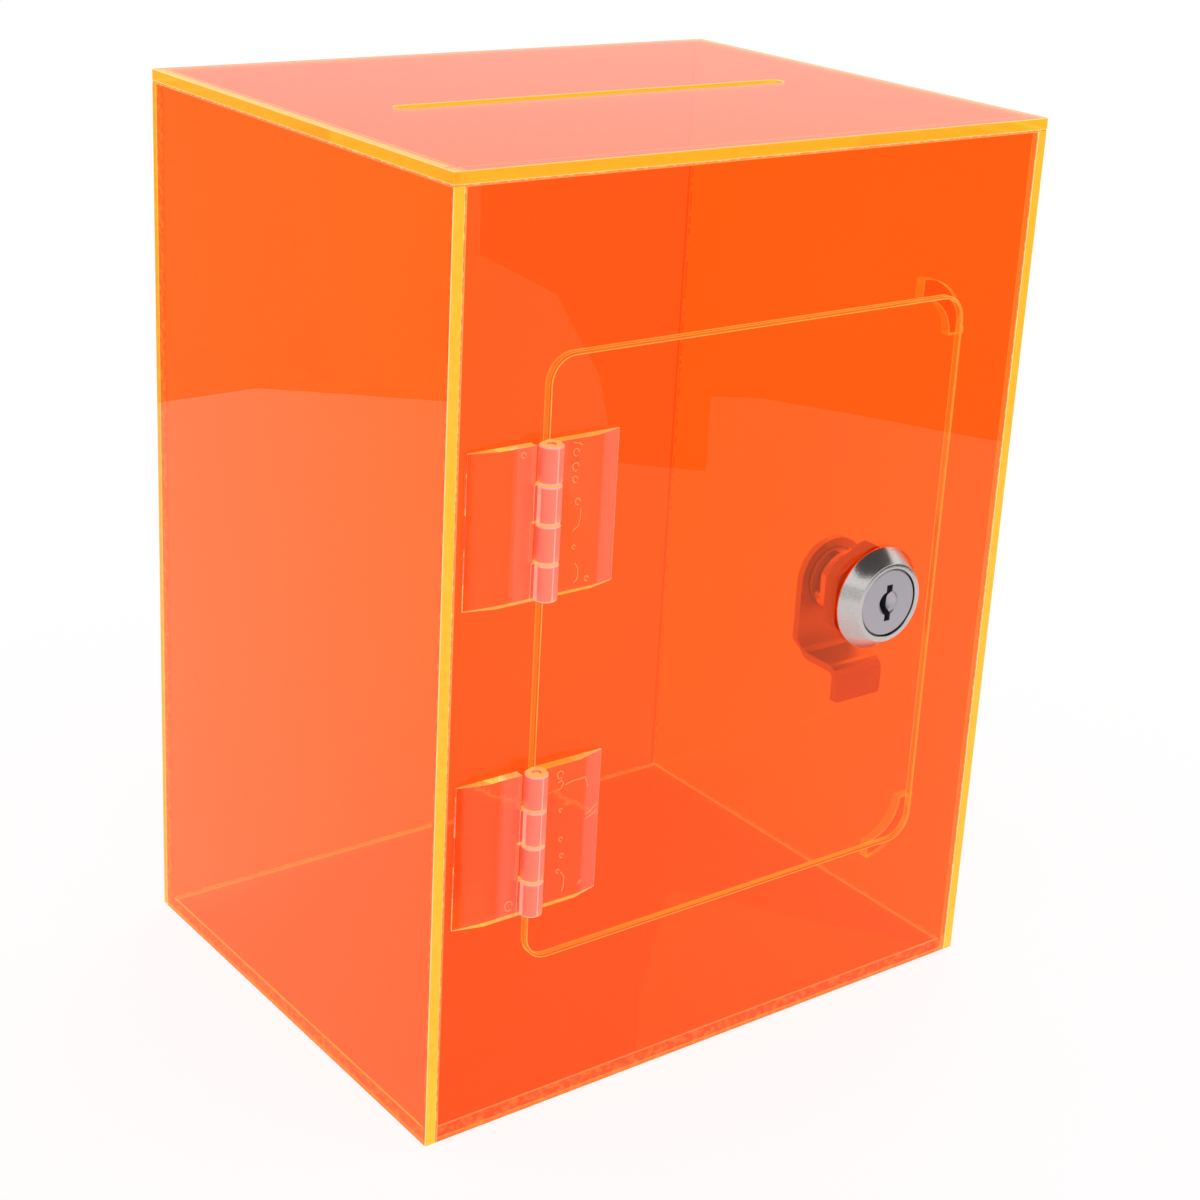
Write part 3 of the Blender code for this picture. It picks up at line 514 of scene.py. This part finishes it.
# The floor's front and back joints hold more air, so they show paler and pinker.
airy_cement = solvent_cement.copy()
airy_cement.name = "solvent_cement_with_air"
airy_tree = airy_cement.node_tree
airy_tree.nodes[seam_glow.name].inputs[6].default_value = linear("EC6C60")
airy_tree.nodes[seam_glow.name].inputs[7].default_value = linear("F49084")
airy_tree.nodes["Principled BSDF"].inputs["Emission Strength"].default_value = 1.4
STRIP_EASE = 0.00005
for name, low, high in (
    ("lid_left", (-0.0899, -0.0699, 0.23672), (-0.0871, 0.0699, 0.23698)),
    ("lid_right", (0.0871, -0.0699, 0.23672), (0.0899, 0.0699, 0.23698)),
    ("lid_front", (-0.0866, -0.0699, 0.23672), (0.0866, -0.0671, 0.23698)),
    ("lid_back", (-0.0866, 0.0671, 0.23672), (0.0866, 0.0699, 0.23698)),
    ("front_left", (-0.08698, -0.0699, 0.0001), (-0.08672, -0.0671, 0.2366)),
    ("front_right", (0.08672, -0.0699, 0.0001), (0.08698, -0.0671, 0.2366)),
    ("back_left", (-0.08698, 0.0671, 0.0001), (-0.08672, 0.0699, 0.2366)),
    ("back_right", (0.08672, 0.0671, 0.0001), (0.08698, 0.0699, 0.2366)),
    ("floor_left", (-0.08698, -0.0666, 0.0001), (-0.08672, 0.0666, 0.0029)),
    ("floor_right", (0.08672, -0.0666, 0.0001), (0.08698, 0.0666, 0.0029)),
    ("floor_front", (-0.0866, -0.06698, 0.0001), (0.0866, -0.06672, 0.0029)),
    ("floor_back", (-0.0866, 0.06672, 0.0001), (0.0866, 0.06698, 0.0029)),
):
    seam = start_piece("cement_" + name, low, high)
    ease_edges(seam, STRIP_EASE, 1)
    seam.data.materials.append(airy_cement if name in ("floor_front", "floor_back") else solvent_cement)
    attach(seam, "box")

# Door. It was cut out of the same front sheet by laser, so a narrow even kerf runs round it.
# Its hole for the lock has two flats, which keep the lock's body from turning.
DOOR_RADIUS = 0.0065
LOCK_PLACE = (0.0451, -0.07, 0.118)
HOLE_RADIUS = 0.0097
HOLE_FLAT = 0.0083
HOLE_SIDES = 64
HOLE_CUT_DEPTH = 0.01
door = start_piece("door_panel_sheet", *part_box("door_panel"))
round_corners(door, 1, DOOR_RADIUS, 10)
ease_edges(door, EDGE_EASE, 1)
bpy.ops.object.select_all(action="DESELECT")
bpy.ops.mesh.primitive_cylinder_add(vertices=HOLE_SIDES, radius=HOLE_RADIUS, depth=HOLE_CUT_DEPTH,
                                    location=LOCK_PLACE, rotation=(math.radians(90), 0, 0))
hole_cutter = bpy.context.object
bpy.ops.object.transform_apply(location=True, rotation=True, scale=True)
bpy.ops.object.mode_set(mode="EDIT")
for side in (-1, 1):
    bpy.ops.mesh.select_all(action="SELECT")
    bpy.ops.mesh.bisect(plane_co=(LOCK_PLACE[0] + side * HOLE_FLAT, 0, 0), plane_no=(side, 0, 0),
                        use_fill=True, clear_outer=True)
bpy.ops.object.mode_set(mode="OBJECT")
cut_away(door, hole_cutter)
hand_over(door, "door_panel", "door", acrylic_door)

# Hinges. Clear polystyrene mouldings, glued flat on the face of the box and of the door.
# The plastic is bright and faintly milky, most of all in the thick knuckles, and its end faces pipe light.
PIN_PLACE = (-0.0639, -0.0732)
KNUCKLE_REACH = 0.0031
# The rims of the knuckles' end faces lie between these two distances from the pin's middle.
RIM_REACH = (0.0027, 0.0030)
# The mould's parting line runs down the knuckles' front, this far and more before the pin's middle. A painted
# highlight line lies along it.
PARTING_HALF = 0.00017
KNUCKLE_FRONT = -0.0026
# Each leaf's milky band, a painted reflection, is a middle and a half width across. The frame's leaf also has
# a step line.
FRAME_REFLECTION_BAND = (-0.0698, 0.0030)
FRAME_STEP = -0.0668
STEP_HALF = 0.0001
DOOR_REFLECTION_BAND = (-0.0455, 0.0026)
REFLECTION_BAND_MILK = 0.09
# How squarely a flat face looks along an axis, and an eased end rim as a middle and a half width.
FLAT_ON = 0.93
END_RIM_ON = (0.55, 0.35)
LEAF_EASE = 0.00035
RIM_RADIUS = 0.0006


def clear_moulding(name, reflection_band_middle, reflection_band_half, step_line=None):
    """Clear moulded plastic, milky in the knuckles and in one upright band of the leaf, which is a painted
    reflection.
    """
    material = bpy.data.materials.new(name)
    material.use_nodes = True
    tree = material.node_tree
    tree.nodes.clear()
    place = add_node(tree, "ShaderNodeTexCoord")
    # Flow lines of the melt lie about 5 mm apart.
    flow = add_node(tree, "ShaderNodeTexNoise", {"Scale": 220.0, "Detail": 2.0},
                    {"Vector": place.outputs["Object"]})
    from_pin = add_node(tree, "ShaderNodeVectorMath", {"operation": "SUBTRACT", 1: (*PIN_PLACE, 0)},
                        {0: place.outputs["Object"]})
    from_pin = add_node(tree, "ShaderNodeVectorMath", {"operation": "MULTIPLY", 1: (1, 1, 0)},
                        {0: from_pin.outputs[0]})
    beside = add_node(tree, "ShaderNodeSeparateXYZ", {}, {0: from_pin.outputs[0]})
    from_pin = add_node(tree, "ShaderNodeVectorMath", {"operation": "LENGTH"}, {0: from_pin.outputs[0]})
    knuckle = add_node(tree, "ShaderNodeMath", {"operation": "LESS_THAN", 1: KNUCKLE_REACH},
                       {0: from_pin.outputs["Value"]})
    where = add_node(tree, "ShaderNodeSeparateXYZ", {}, {0: place.outputs["Object"]})
    # The milky upright band is a painted reflection across the leaf.
    painted_band = add_node(tree, "ShaderNodeMath", {"operation": "COMPARE", 1: reflection_band_middle, 2: reflection_band_half},
                    {0: where.outputs["X"]})
    painted_band = add_node(tree, "ShaderNodeMath", {"operation": "MULTIPLY", 1: REFLECTION_BAND_MILK}, {0: painted_band.outputs[0]})
    milk = add_node(tree, "ShaderNodeMath", {"operation": "MAXIMUM"},
                    {0: knuckle.outputs[0], 1: painted_band.outputs[0]})
    # Painted highlight lines, as a pale tint and glow: the mould's parting line, every eased edge and end
    # rim, and the step line.
    parting = add_node(tree, "ShaderNodeMath", {"operation": "COMPARE", 1: 0.0, 2: PARTING_HALF},
                       {0: beside.outputs["X"]})
    outer = add_node(tree, "ShaderNodeMath", {"operation": "LESS_THAN", 1: KNUCKLE_FRONT},
                     {0: beside.outputs["Y"]})
    parting = add_node(tree, "ShaderNodeMath", {"operation": "MULTIPLY"},
                       {0: parting.outputs[0], 1: outer.outputs[0]})
    size = add_node(tree, "ShaderNodeVectorMath", {"operation": "ABSOLUTE"}, {0: place.outputs["Normal"]})
    turned = add_node(tree, "ShaderNodeSeparateXYZ", {}, {0: size.outputs[0]})
    most = add_node(tree, "ShaderNodeMath", {"operation": "MAXIMUM"},
                    {0: turned.outputs["X"], 1: turned.outputs["Y"]})
    most = add_node(tree, "ShaderNodeMath", {"operation": "MAXIMUM"},
                    {0: most.outputs[0], 1: turned.outputs["Z"]})
    leaf_ease = add_node(tree, "ShaderNodeMath", {"operation": "LESS_THAN", 1: FLAT_ON},
                         {0: most.outputs[0]})
    leaf_ease = add_node(tree, "ShaderNodeMath", {"operation": "SUBTRACT", "use_clamp": True},
                         {0: leaf_ease.outputs[0], 1: knuckle.outputs[0]})
    end_ease = add_node(tree, "ShaderNodeMath",
                        {"operation": "COMPARE", 1: END_RIM_ON[0], 2: END_RIM_ON[1]},
                        {0: turned.outputs["Z"]})
    highlight_lines = add_node(tree, "ShaderNodeMath", {"operation": "MAXIMUM"},
                    {0: parting.outputs[0], 1: leaf_ease.outputs[0]})
    highlight_lines = add_node(tree, "ShaderNodeMath", {"operation": "MAXIMUM"},
                    {0: highlight_lines.outputs[0], 1: end_ease.outputs[0]})
    if step_line:
        step = add_node(tree, "ShaderNodeMath", {"operation": "COMPARE", 1: step_line, 2: STEP_HALF},
                        {0: where.outputs["X"]})
        highlight_lines = add_node(tree, "ShaderNodeMath", {"operation": "MAXIMUM"},
                        {0: highlight_lines.outputs[0], 1: step.outputs[0]})
    tint = add_node(tree, "ShaderNodeMix", {"data_type": "RGBA", 6: linear("FFEEEA"), 7: linear("FFA690")},
                    {"Factor": milk.outputs[0]})
    tint = add_node(tree, "ShaderNodeMix", {"data_type": "RGBA", 7: linear("FFD0CC")},
                    {"Factor": highlight_lines.outputs[0], 6: tint.outputs[2]})
    solid = add_node(tree, "ShaderNodeMath", {"operation": "MULTIPLY", 1: 0.7}, {0: highlight_lines.outputs[0]})
    solid = add_node(tree, "ShaderNodeMath", {"operation": "MAXIMUM"},
                     {0: milk.outputs[0], 1: solid.outputs[0]})
    uneven = add_node(tree, "ShaderNodeMapRange", {"To Min": 0.90, "To Max": 1.05},
                      {"Value": flow.outputs["Fac"]})
    solid = add_node(tree, "ShaderNodeMath", {"operation": "MULTIPLY"},
                     {0: solid.outputs[0], 1: uneven.outputs[0]})
    clear = add_node(tree, "ShaderNodeMapRange", {"To Min": 1.0, "To Max": 0.35}, {"Value": solid.outputs[0]})
    rough = add_node(tree, "ShaderNodeMapRange", {"To Min": 0.02, "To Max": 0.35},
                     {"Value": knuckle.outputs[0]})
    end_face = add_node(tree, "ShaderNodeMath", {"operation": "GREATER_THAN", 1: FLAT_ON},
                        {0: turned.outputs["Z"]})
    # The sheet behind lights the milky parts from within, and the end faces pipe its yellow glow, both as
    # painted glow.
    painted_glow = add_node(tree, "ShaderNodeMix", {"data_type": "RGBA", 6: linear("000000"), 7: linear("980400")},
                     {"Factor": knuckle.outputs[0]})
    # The highlight lines get a painted pale glow.
    painted_glow = add_node(tree, "ShaderNodeMix", {"data_type": "RGBA", 7: linear("AA5944")},
                     {"Factor": highlight_lines.outputs[0], 6: painted_glow.outputs[2]})
    painted_glow = add_node(tree, "ShaderNodeMix", {"data_type": "RGBA", 7: linear("E8942C")},
                     {"Factor": end_face.outputs[0], 6: painted_glow.outputs[2]})
    bump = add_node(tree, "ShaderNodeBump", {"Strength": 0.15, "Distance": 0.0002},
                    {"Height": flow.outputs["Fac"]})
    # The orange specular tint is a painted reflection colour. It stands for the orange surroundings that the
    # clear plastic mirrors.
    plastic = add_node(tree, "ShaderNodeBsdfPrincipled",
                       {"IOR": 1.5, "Specular Tint": (1.0, 0.3, 0.05, 1), "Emission Strength": 1.0},
                       {"Base Color": tint.outputs[2], "Normal": bump.outputs[0],
                        "Roughness": rough.outputs[0], "Transmission Weight": clear.outputs[0],
                        "Emission Color": painted_glow.outputs[2]})
    passed = add_node(tree, "ShaderNodeBsdfTransparent", {"Color": linear("F4F0EE")})
    path = add_node(tree, "ShaderNodeLightPath")
    lamp = add_node(tree, "ShaderNodeMath", {"operation": "MAXIMUM"},
                    {0: path.outputs["Is Shadow Ray"], 1: path.outputs["Is Diffuse Ray"]})
    both = add_node(tree, "ShaderNodeMixShader", {},
                    {0: lamp.outputs[0], 1: plastic.outputs[0], 2: passed.outputs[0]})
    add_node(tree, "ShaderNodeOutputMaterial", {}, {"Surface": both.outputs[0]})
    return material


def finish_node(name, material):
    """Puts a material on a piece that keeps its shape from the frame."""
    nodes[name].data.materials.clear()
    nodes[name].data.materials.append(material)


def knuckle_rim(edge):
    """True for the rims of the knuckles' end faces, which the mould rounds more than the rest."""
    reach = [math.hypot(v.co.x - PIN_PLACE[0], v.co.y - PIN_PLACE[1]) for v in edge.verts]
    level = abs(edge.verts[0].co.z - edge.verts[1].co.z) < SAME_PLACE
    return level and min(reach) > RIM_REACH[0] and max(reach) < RIM_REACH[1]


frame_plastic = clear_moulding("clear_moulding_frame_leaf", *FRAME_REFLECTION_BAND, FRAME_STEP)
door_plastic = clear_moulding("clear_moulding_door_leaf", *DOOR_REFLECTION_BAND)
for hinge in ("upper_hinge", "lower_hinge"):
    for leaf, body, plastic in (("frame", "box", frame_plastic), ("door", "door", door_plastic)):
        eased_copy(f"{hinge}_{leaf}_leaf", f"{hinge}_{leaf}_moulding", body, plastic,
                   LEAF_EASE, 2, smooth=15, round_first=(knuckle_rim, RIM_RADIUS, 3))
    finish_node(hinge + "_pin", frame_plastic)


# Glue marks. The cement that holds the leaves left bubbles and short runs in the film behind them.
# Each is a thin pale thread of trapped air, laid in the film and pressed flat.
FILM = -0.07015
THREAD_RADIUS = 0.00015
# Bubbles are each a place across and up and a radius, and runs are points across and up, in millimetres.
ROUND_BUBBLES = {
    "upper_hinge": ((-55.5, 173.5, 0.9), (-55.5, 170, 1), (-55.5, 167, 0.8), (-54.5, 161.5, 0.8),
                    (-55, 150.5, 0.5), (-51, 142, 0.6), (-70, 175, 0.7)),
    "lower_hinge": ((-55.5, 92.5, 1), (-55, 83, 0.5), (-54.5, 75, 0.6), (-54, 70.5, 0.6), (-55, 66.5, 0.5),
                    (-48, 61.5, 0.4), (-69, 61, 1.3)),
}
RUNS = {
    "upper_hinge": (((-53.5, 159.5), (-53.5, 157.5), (-54, 155.5), (-55.5, 154.5)),
                    ((-56.5, 176), (-54.5, 175.5), (-54, 175)),
                    ((-54.5, 146.5), (-53.5, 145), (-53.5, 142.5), (-54.5, 141.5))),
    "lower_hinge": (((-54, 89.5), (-52, 90), (-48, 90), (-47.5, 89), (-47, 87)),
                    ((-47, 79.5), (-46, 80), (-43.5, 81.5)),
                    ((-47, 78.5), (-45, 79), (-43.5, 80)),
                    ((-54, 66), (-53, 64.5), (-53, 62), (-53.5, 60.5)),
                    ((-56, 90.5), (-55, 91), (-54.5, 90), (-55, 89), (-56, 88.5))),
}
dried_cement = bpy.data.materials.new("dried_acrylic_cement")
dried_cement.use_nodes = True
cement = dried_cement.node_tree
cement_place = add_node(cement, "ShaderNodeTexCoord")
# The threads grow paler and darker every 2 mm or so.
cement_patch = add_node(cement, "ShaderNodeTexNoise", {"Scale": 500.0, "Detail": 1.0},
                        {"Vector": cement_place.outputs["Object"]})
cement_tint = add_node(cement, "ShaderNodeMix",
                       {"data_type": "RGBA", 6: linear("FF9060"), 7: linear("FFC890")},
                       {"Factor": cement_patch.outputs["Fac"]})
cement_shader = cement.nodes["Principled BSDF"]
cement.links.new(cement_tint.outputs[2], cement_shader.inputs["Base Color"])
cement_shader.inputs["Roughness"].default_value = 0.35
cement_shader.inputs["Transmission Weight"].default_value = 0.3
# The threads carry a painted orange glow.
cement_shader.inputs["Emission Color"].default_value = linear("AA5924")
cement_shader.inputs["Emission Strength"].default_value = 1.0
for hinge in ("upper_hinge", "lower_hinge"):
    points = []
    threads = []
    # A bubble is a ring, a little narrow and uneven, that stops short of closing.
    for x, z, radius in ROUND_BUBBLES[hinge]:
        ring = [(x + radius * (0.8 + 0.1 * math.sin(3 * t)) * math.cos(t), z + radius * math.sin(t))
                for t in (math.tau * i / 14 for i in range(13))]
        threads.append(ring)
    threads += RUNS[hinge]
    edges = []
    for thread in threads:
        edges += [(len(points) + i, len(points) + i + 1) for i in range(len(thread) - 1)]
        points += [(x / 1000, FILM, z / 1000) for x, z in thread]
    for body, side in (("door", 1), ("box", -1)):
        near = [i for i, point in enumerate(points) if side * (point[0] - PIN_PLACE[0]) > 0]
        if not near:
            continue
        number = {old: new for new, old in enumerate(near)}
        kept = [(number[a], number[b]) for a, b in edges if a in number]
        line = bpy.data.meshes.new(f"{hinge}_glue_{body}")
        line.from_pydata([points[i] for i in near], kept, [])
        marks = bpy.data.objects.new(f"{hinge}_glue_marks_{body}", line)
        bpy.context.scene.collection.objects.link(marks)
        bpy.ops.object.select_all(action="DESELECT")
        marks.select_set(True)
        bpy.context.view_layer.objects.active = marks
        bpy.ops.object.convert(target="CURVE")
        bpy.context.object.data.bevel_depth = THREAD_RADIUS
        bpy.context.object.data.bevel_resolution = 1
        bpy.context.object.data.use_fill_caps = True
        bpy.ops.object.convert(target="MESH")
        marks = bpy.context.object
        bpy.ops.object.mode_set(mode="EDIT")
        bpy.ops.mesh.select_all(action="SELECT")
        bpy.ops.transform.resize(value=(1, 0.6, 1), center_override=(0, FILM, 0))
        bpy.ops.object.mode_set(mode="OBJECT")
        marks.data.materials.clear()
        marks.data.materials.append(dried_cement)
        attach(marks, body)


# Lock. Die-cast zinc with bright nickel plate on the body, a satin plug, and zinc-plated steel behind.
# Plating is a thin metal skin, so its colour is all in its reflection.
def plated_metal(name, dark, light, rough_low, rough_high, scale):
    """Plated metal with fine mottle, about 0.5 mm apart, in its tone and roughness."""
    material = bpy.data.materials.new(name)
    material.use_nodes = True
    tree = material.node_tree
    shader = tree.nodes["Principled BSDF"]
    place = add_node(tree, "ShaderNodeTexCoord")
    mottle = add_node(tree, "ShaderNodeTexNoise", {"Scale": scale, "Detail": 4.0},
                      {"Vector": place.outputs["Object"]})
    tone = add_node(tree, "ShaderNodeMix", {"data_type": "RGBA", 6: linear(dark), 7: linear(light)},
                    {"Factor": mottle.outputs["Fac"]})
    rough = add_node(tree, "ShaderNodeMapRange", {"To Min": rough_low, "To Max": rough_high},
                     {"Value": mottle.outputs["Fac"]})
    bump = add_node(tree, "ShaderNodeBump", {"Strength": 0.55, "Distance": 0.00004},
                    {"Height": mottle.outputs["Fac"]})
    tree.links.new(tone.outputs[2], shader.inputs["Base Color"])
    tree.links.new(rough.outputs[0], shader.inputs["Roughness"])
    tree.links.new(bump.outputs[0], shader.inputs["Normal"])
    shader.inputs["Metallic"].default_value = 1.0
    return material


bright_nickel = plated_metal("bright_nickel_plate", "BCB8B6", "DEDAD8", 0.12, 0.26, 2200.0)
# Behind the door the barrel takes up some of the sheets' own orange glow.
nickel_tree = bright_nickel.node_tree
along_barrel = add_node(nickel_tree, "ShaderNodeTexCoord")
along_barrel = add_node(nickel_tree, "ShaderNodeSeparateXYZ", {}, {0: along_barrel.outputs["Object"]})
behind_door = add_node(nickel_tree, "ShaderNodeMath", {"operation": "GREATER_THAN", 1: LOCK_PLACE[1]},
                       {0: along_barrel.outputs["Y"]})
orange_light = add_node(nickel_tree, "ShaderNodeMix",
                        {"data_type": "RGBA", 6: linear("000000"), 7: linear("64300E")},
                        {"Factor": behind_door.outputs[0]})
nickel_shader = nickel_tree.nodes["Principled BSDF"]
nickel_tree.links.new(orange_light.outputs[2], nickel_shader.inputs["Emission Color"])
nickel_shader.inputs["Emission Strength"].default_value = 1.0
finish_node("lock_plug", plated_metal("satin_nickel_plug", "B8B4BA", "C4C0C6", 0.30, 0.40, 2500.0))
finish_node("lock_nut", plated_metal("dull_nickel_nut", "9A948C", "B4AEA4", 0.34, 0.46, 1800.0))
for name in ("lock_cam", "lock_stop_washer", "cam_washer", "cam_screw"):
    finish_node(name, plated_metal(f"zinc_plate_{name}", "B4B0A8", "CCC8C0", 0.34, 0.46, 1800.0))

# The body is turned in one piece: bezel, bore and a barrel with a 0.8 mm thread, milled flat on two sides.
# Each point is a radius and a depth behind the door's face, in metres.
THREAD_PITCH = 0.0008
THREAD_START = 0.0036
THREAD_END = 0.0152
CREST = 0.009
ROOT = 0.0086
BARREL_FLAT = 0.008
BARREL_REACH = 0.018
CUTTER_REACH = 0.012
TURNED_STEPS = 120
outline = [(0.0068, -0.0023), (0.0093, -0.0023), (0.0093, -0.00515), (0.00942, -0.0053),
           (0.01050, -0.0053), (0.01062, -0.00526), (0.01072, -0.00517), (0.01382, -0.00105),
           (0.0139, -0.0009), (0.0139, -0.0005), (0.0137, -0.0003), (CREST, -0.0003), (CREST, THREAD_START)]
depth = THREAD_START
while depth + THREAD_PITCH < THREAD_END:
    outline += [(ROOT, depth + THREAD_PITCH * 0.45), (ROOT, depth + THREAD_PITCH * 0.55),
                (CREST, depth + THREAD_PITCH * 0.95), (CREST, depth + THREAD_PITCH * 1.05)]
    depth += THREAD_PITCH
outline += [(ROOT, 0.0156), (ROOT - 0.0001, 0.0157), (0.0068, 0.0157)]
bpy.ops.object.select_all(action="DESELECT")
section = bpy.data.meshes.new("lock_body_turned")
section.from_pydata([(LOCK_PLACE[0] + r, LOCK_PLACE[1] + y, LOCK_PLACE[2]) for r, y in outline],
                    [(i, (i + 1) % len(outline)) for i in range(len(outline))], [])
lock_body = bpy.data.objects.new("lock_body_turned", section)
bpy.context.scene.collection.objects.link(lock_body)
lock_body.select_set(True)
bpy.context.view_layer.objects.active = lock_body
bpy.ops.object.mode_set(mode="EDIT")
bpy.ops.mesh.select_all(action="SELECT")
bpy.ops.mesh.spin(steps=TURNED_STEPS, angle=math.tau, center=LOCK_PLACE, axis=(0, 1, 0))
bpy.ops.mesh.select_all(action="SELECT")
bpy.ops.mesh.remove_doubles(threshold=SAME_PLACE)
bpy.ops.mesh.normals_make_consistent(inside=False)
bpy.ops.object.mode_set(mode="OBJECT")
for side in (-1, 1):
    sides = sorted((LOCK_PLACE[0] + side * BARREL_FLAT, LOCK_PLACE[0] + side * CUTTER_REACH))
    flat_cutter = start_piece("flat_cutter", (sides[0], LOCK_PLACE[1] + 0.0001, LOCK_PLACE[2] - CUTTER_REACH),
                              (sides[1], LOCK_PLACE[1] + BARREL_REACH, LOCK_PLACE[2] + CUTTER_REACH))
    cut_away(lock_body, flat_cutter)

# A notch in the barrel's end stops the plug's washer after a quarter turn. It is a wedge from the axis out.
NOTCH_START = 0.0137
NOTCH_DEPTH = 0.004
NOTCH_REACH = 0.02
NOTCH_ANGLES = (77, 135, 193)
bpy.ops.object.select_all(action="DESELECT")
bpy.ops.mesh.primitive_circle_add(vertices=4, radius=NOTCH_REACH, fill_type="NGON",
                                  location=(LOCK_PLACE[0], LOCK_PLACE[1] + NOTCH_START, LOCK_PLACE[2]),
                                  rotation=(math.radians(90), 0, 0))
notch_cutter = bpy.context.object
bpy.ops.object.transform_apply(location=True, rotation=True, scale=True)
wedge = [(0, 0)] + [(NOTCH_REACH * math.cos(math.radians(angle)), NOTCH_REACH * math.sin(math.radians(angle)))
                    for angle in NOTCH_ANGLES]
for vertex, (across, up) in zip(notch_cutter.data.vertices, wedge):
    vertex.co.x = LOCK_PLACE[0] + across
    vertex.co.z = LOCK_PLACE[2] + up
bpy.ops.object.mode_set(mode="EDIT")
bpy.ops.mesh.select_all(action="SELECT")
bpy.ops.mesh.extrude_region_move(TRANSFORM_OT_translate={"value": (0, NOTCH_DEPTH, 0)})
bpy.ops.mesh.select_all(action="SELECT")
bpy.ops.mesh.normals_make_consistent(inside=False)
bpy.ops.object.mode_set(mode="OBJECT")
cut_away(lock_body, notch_cutter)
bpy.context.view_layer.objects.active = lock_body
lock_body.select_set(True)
bpy.ops.object.shade_smooth_by_angle(angle=math.radians(25))
hand_over(lock_body, "lock_body", "door", bright_nickel)
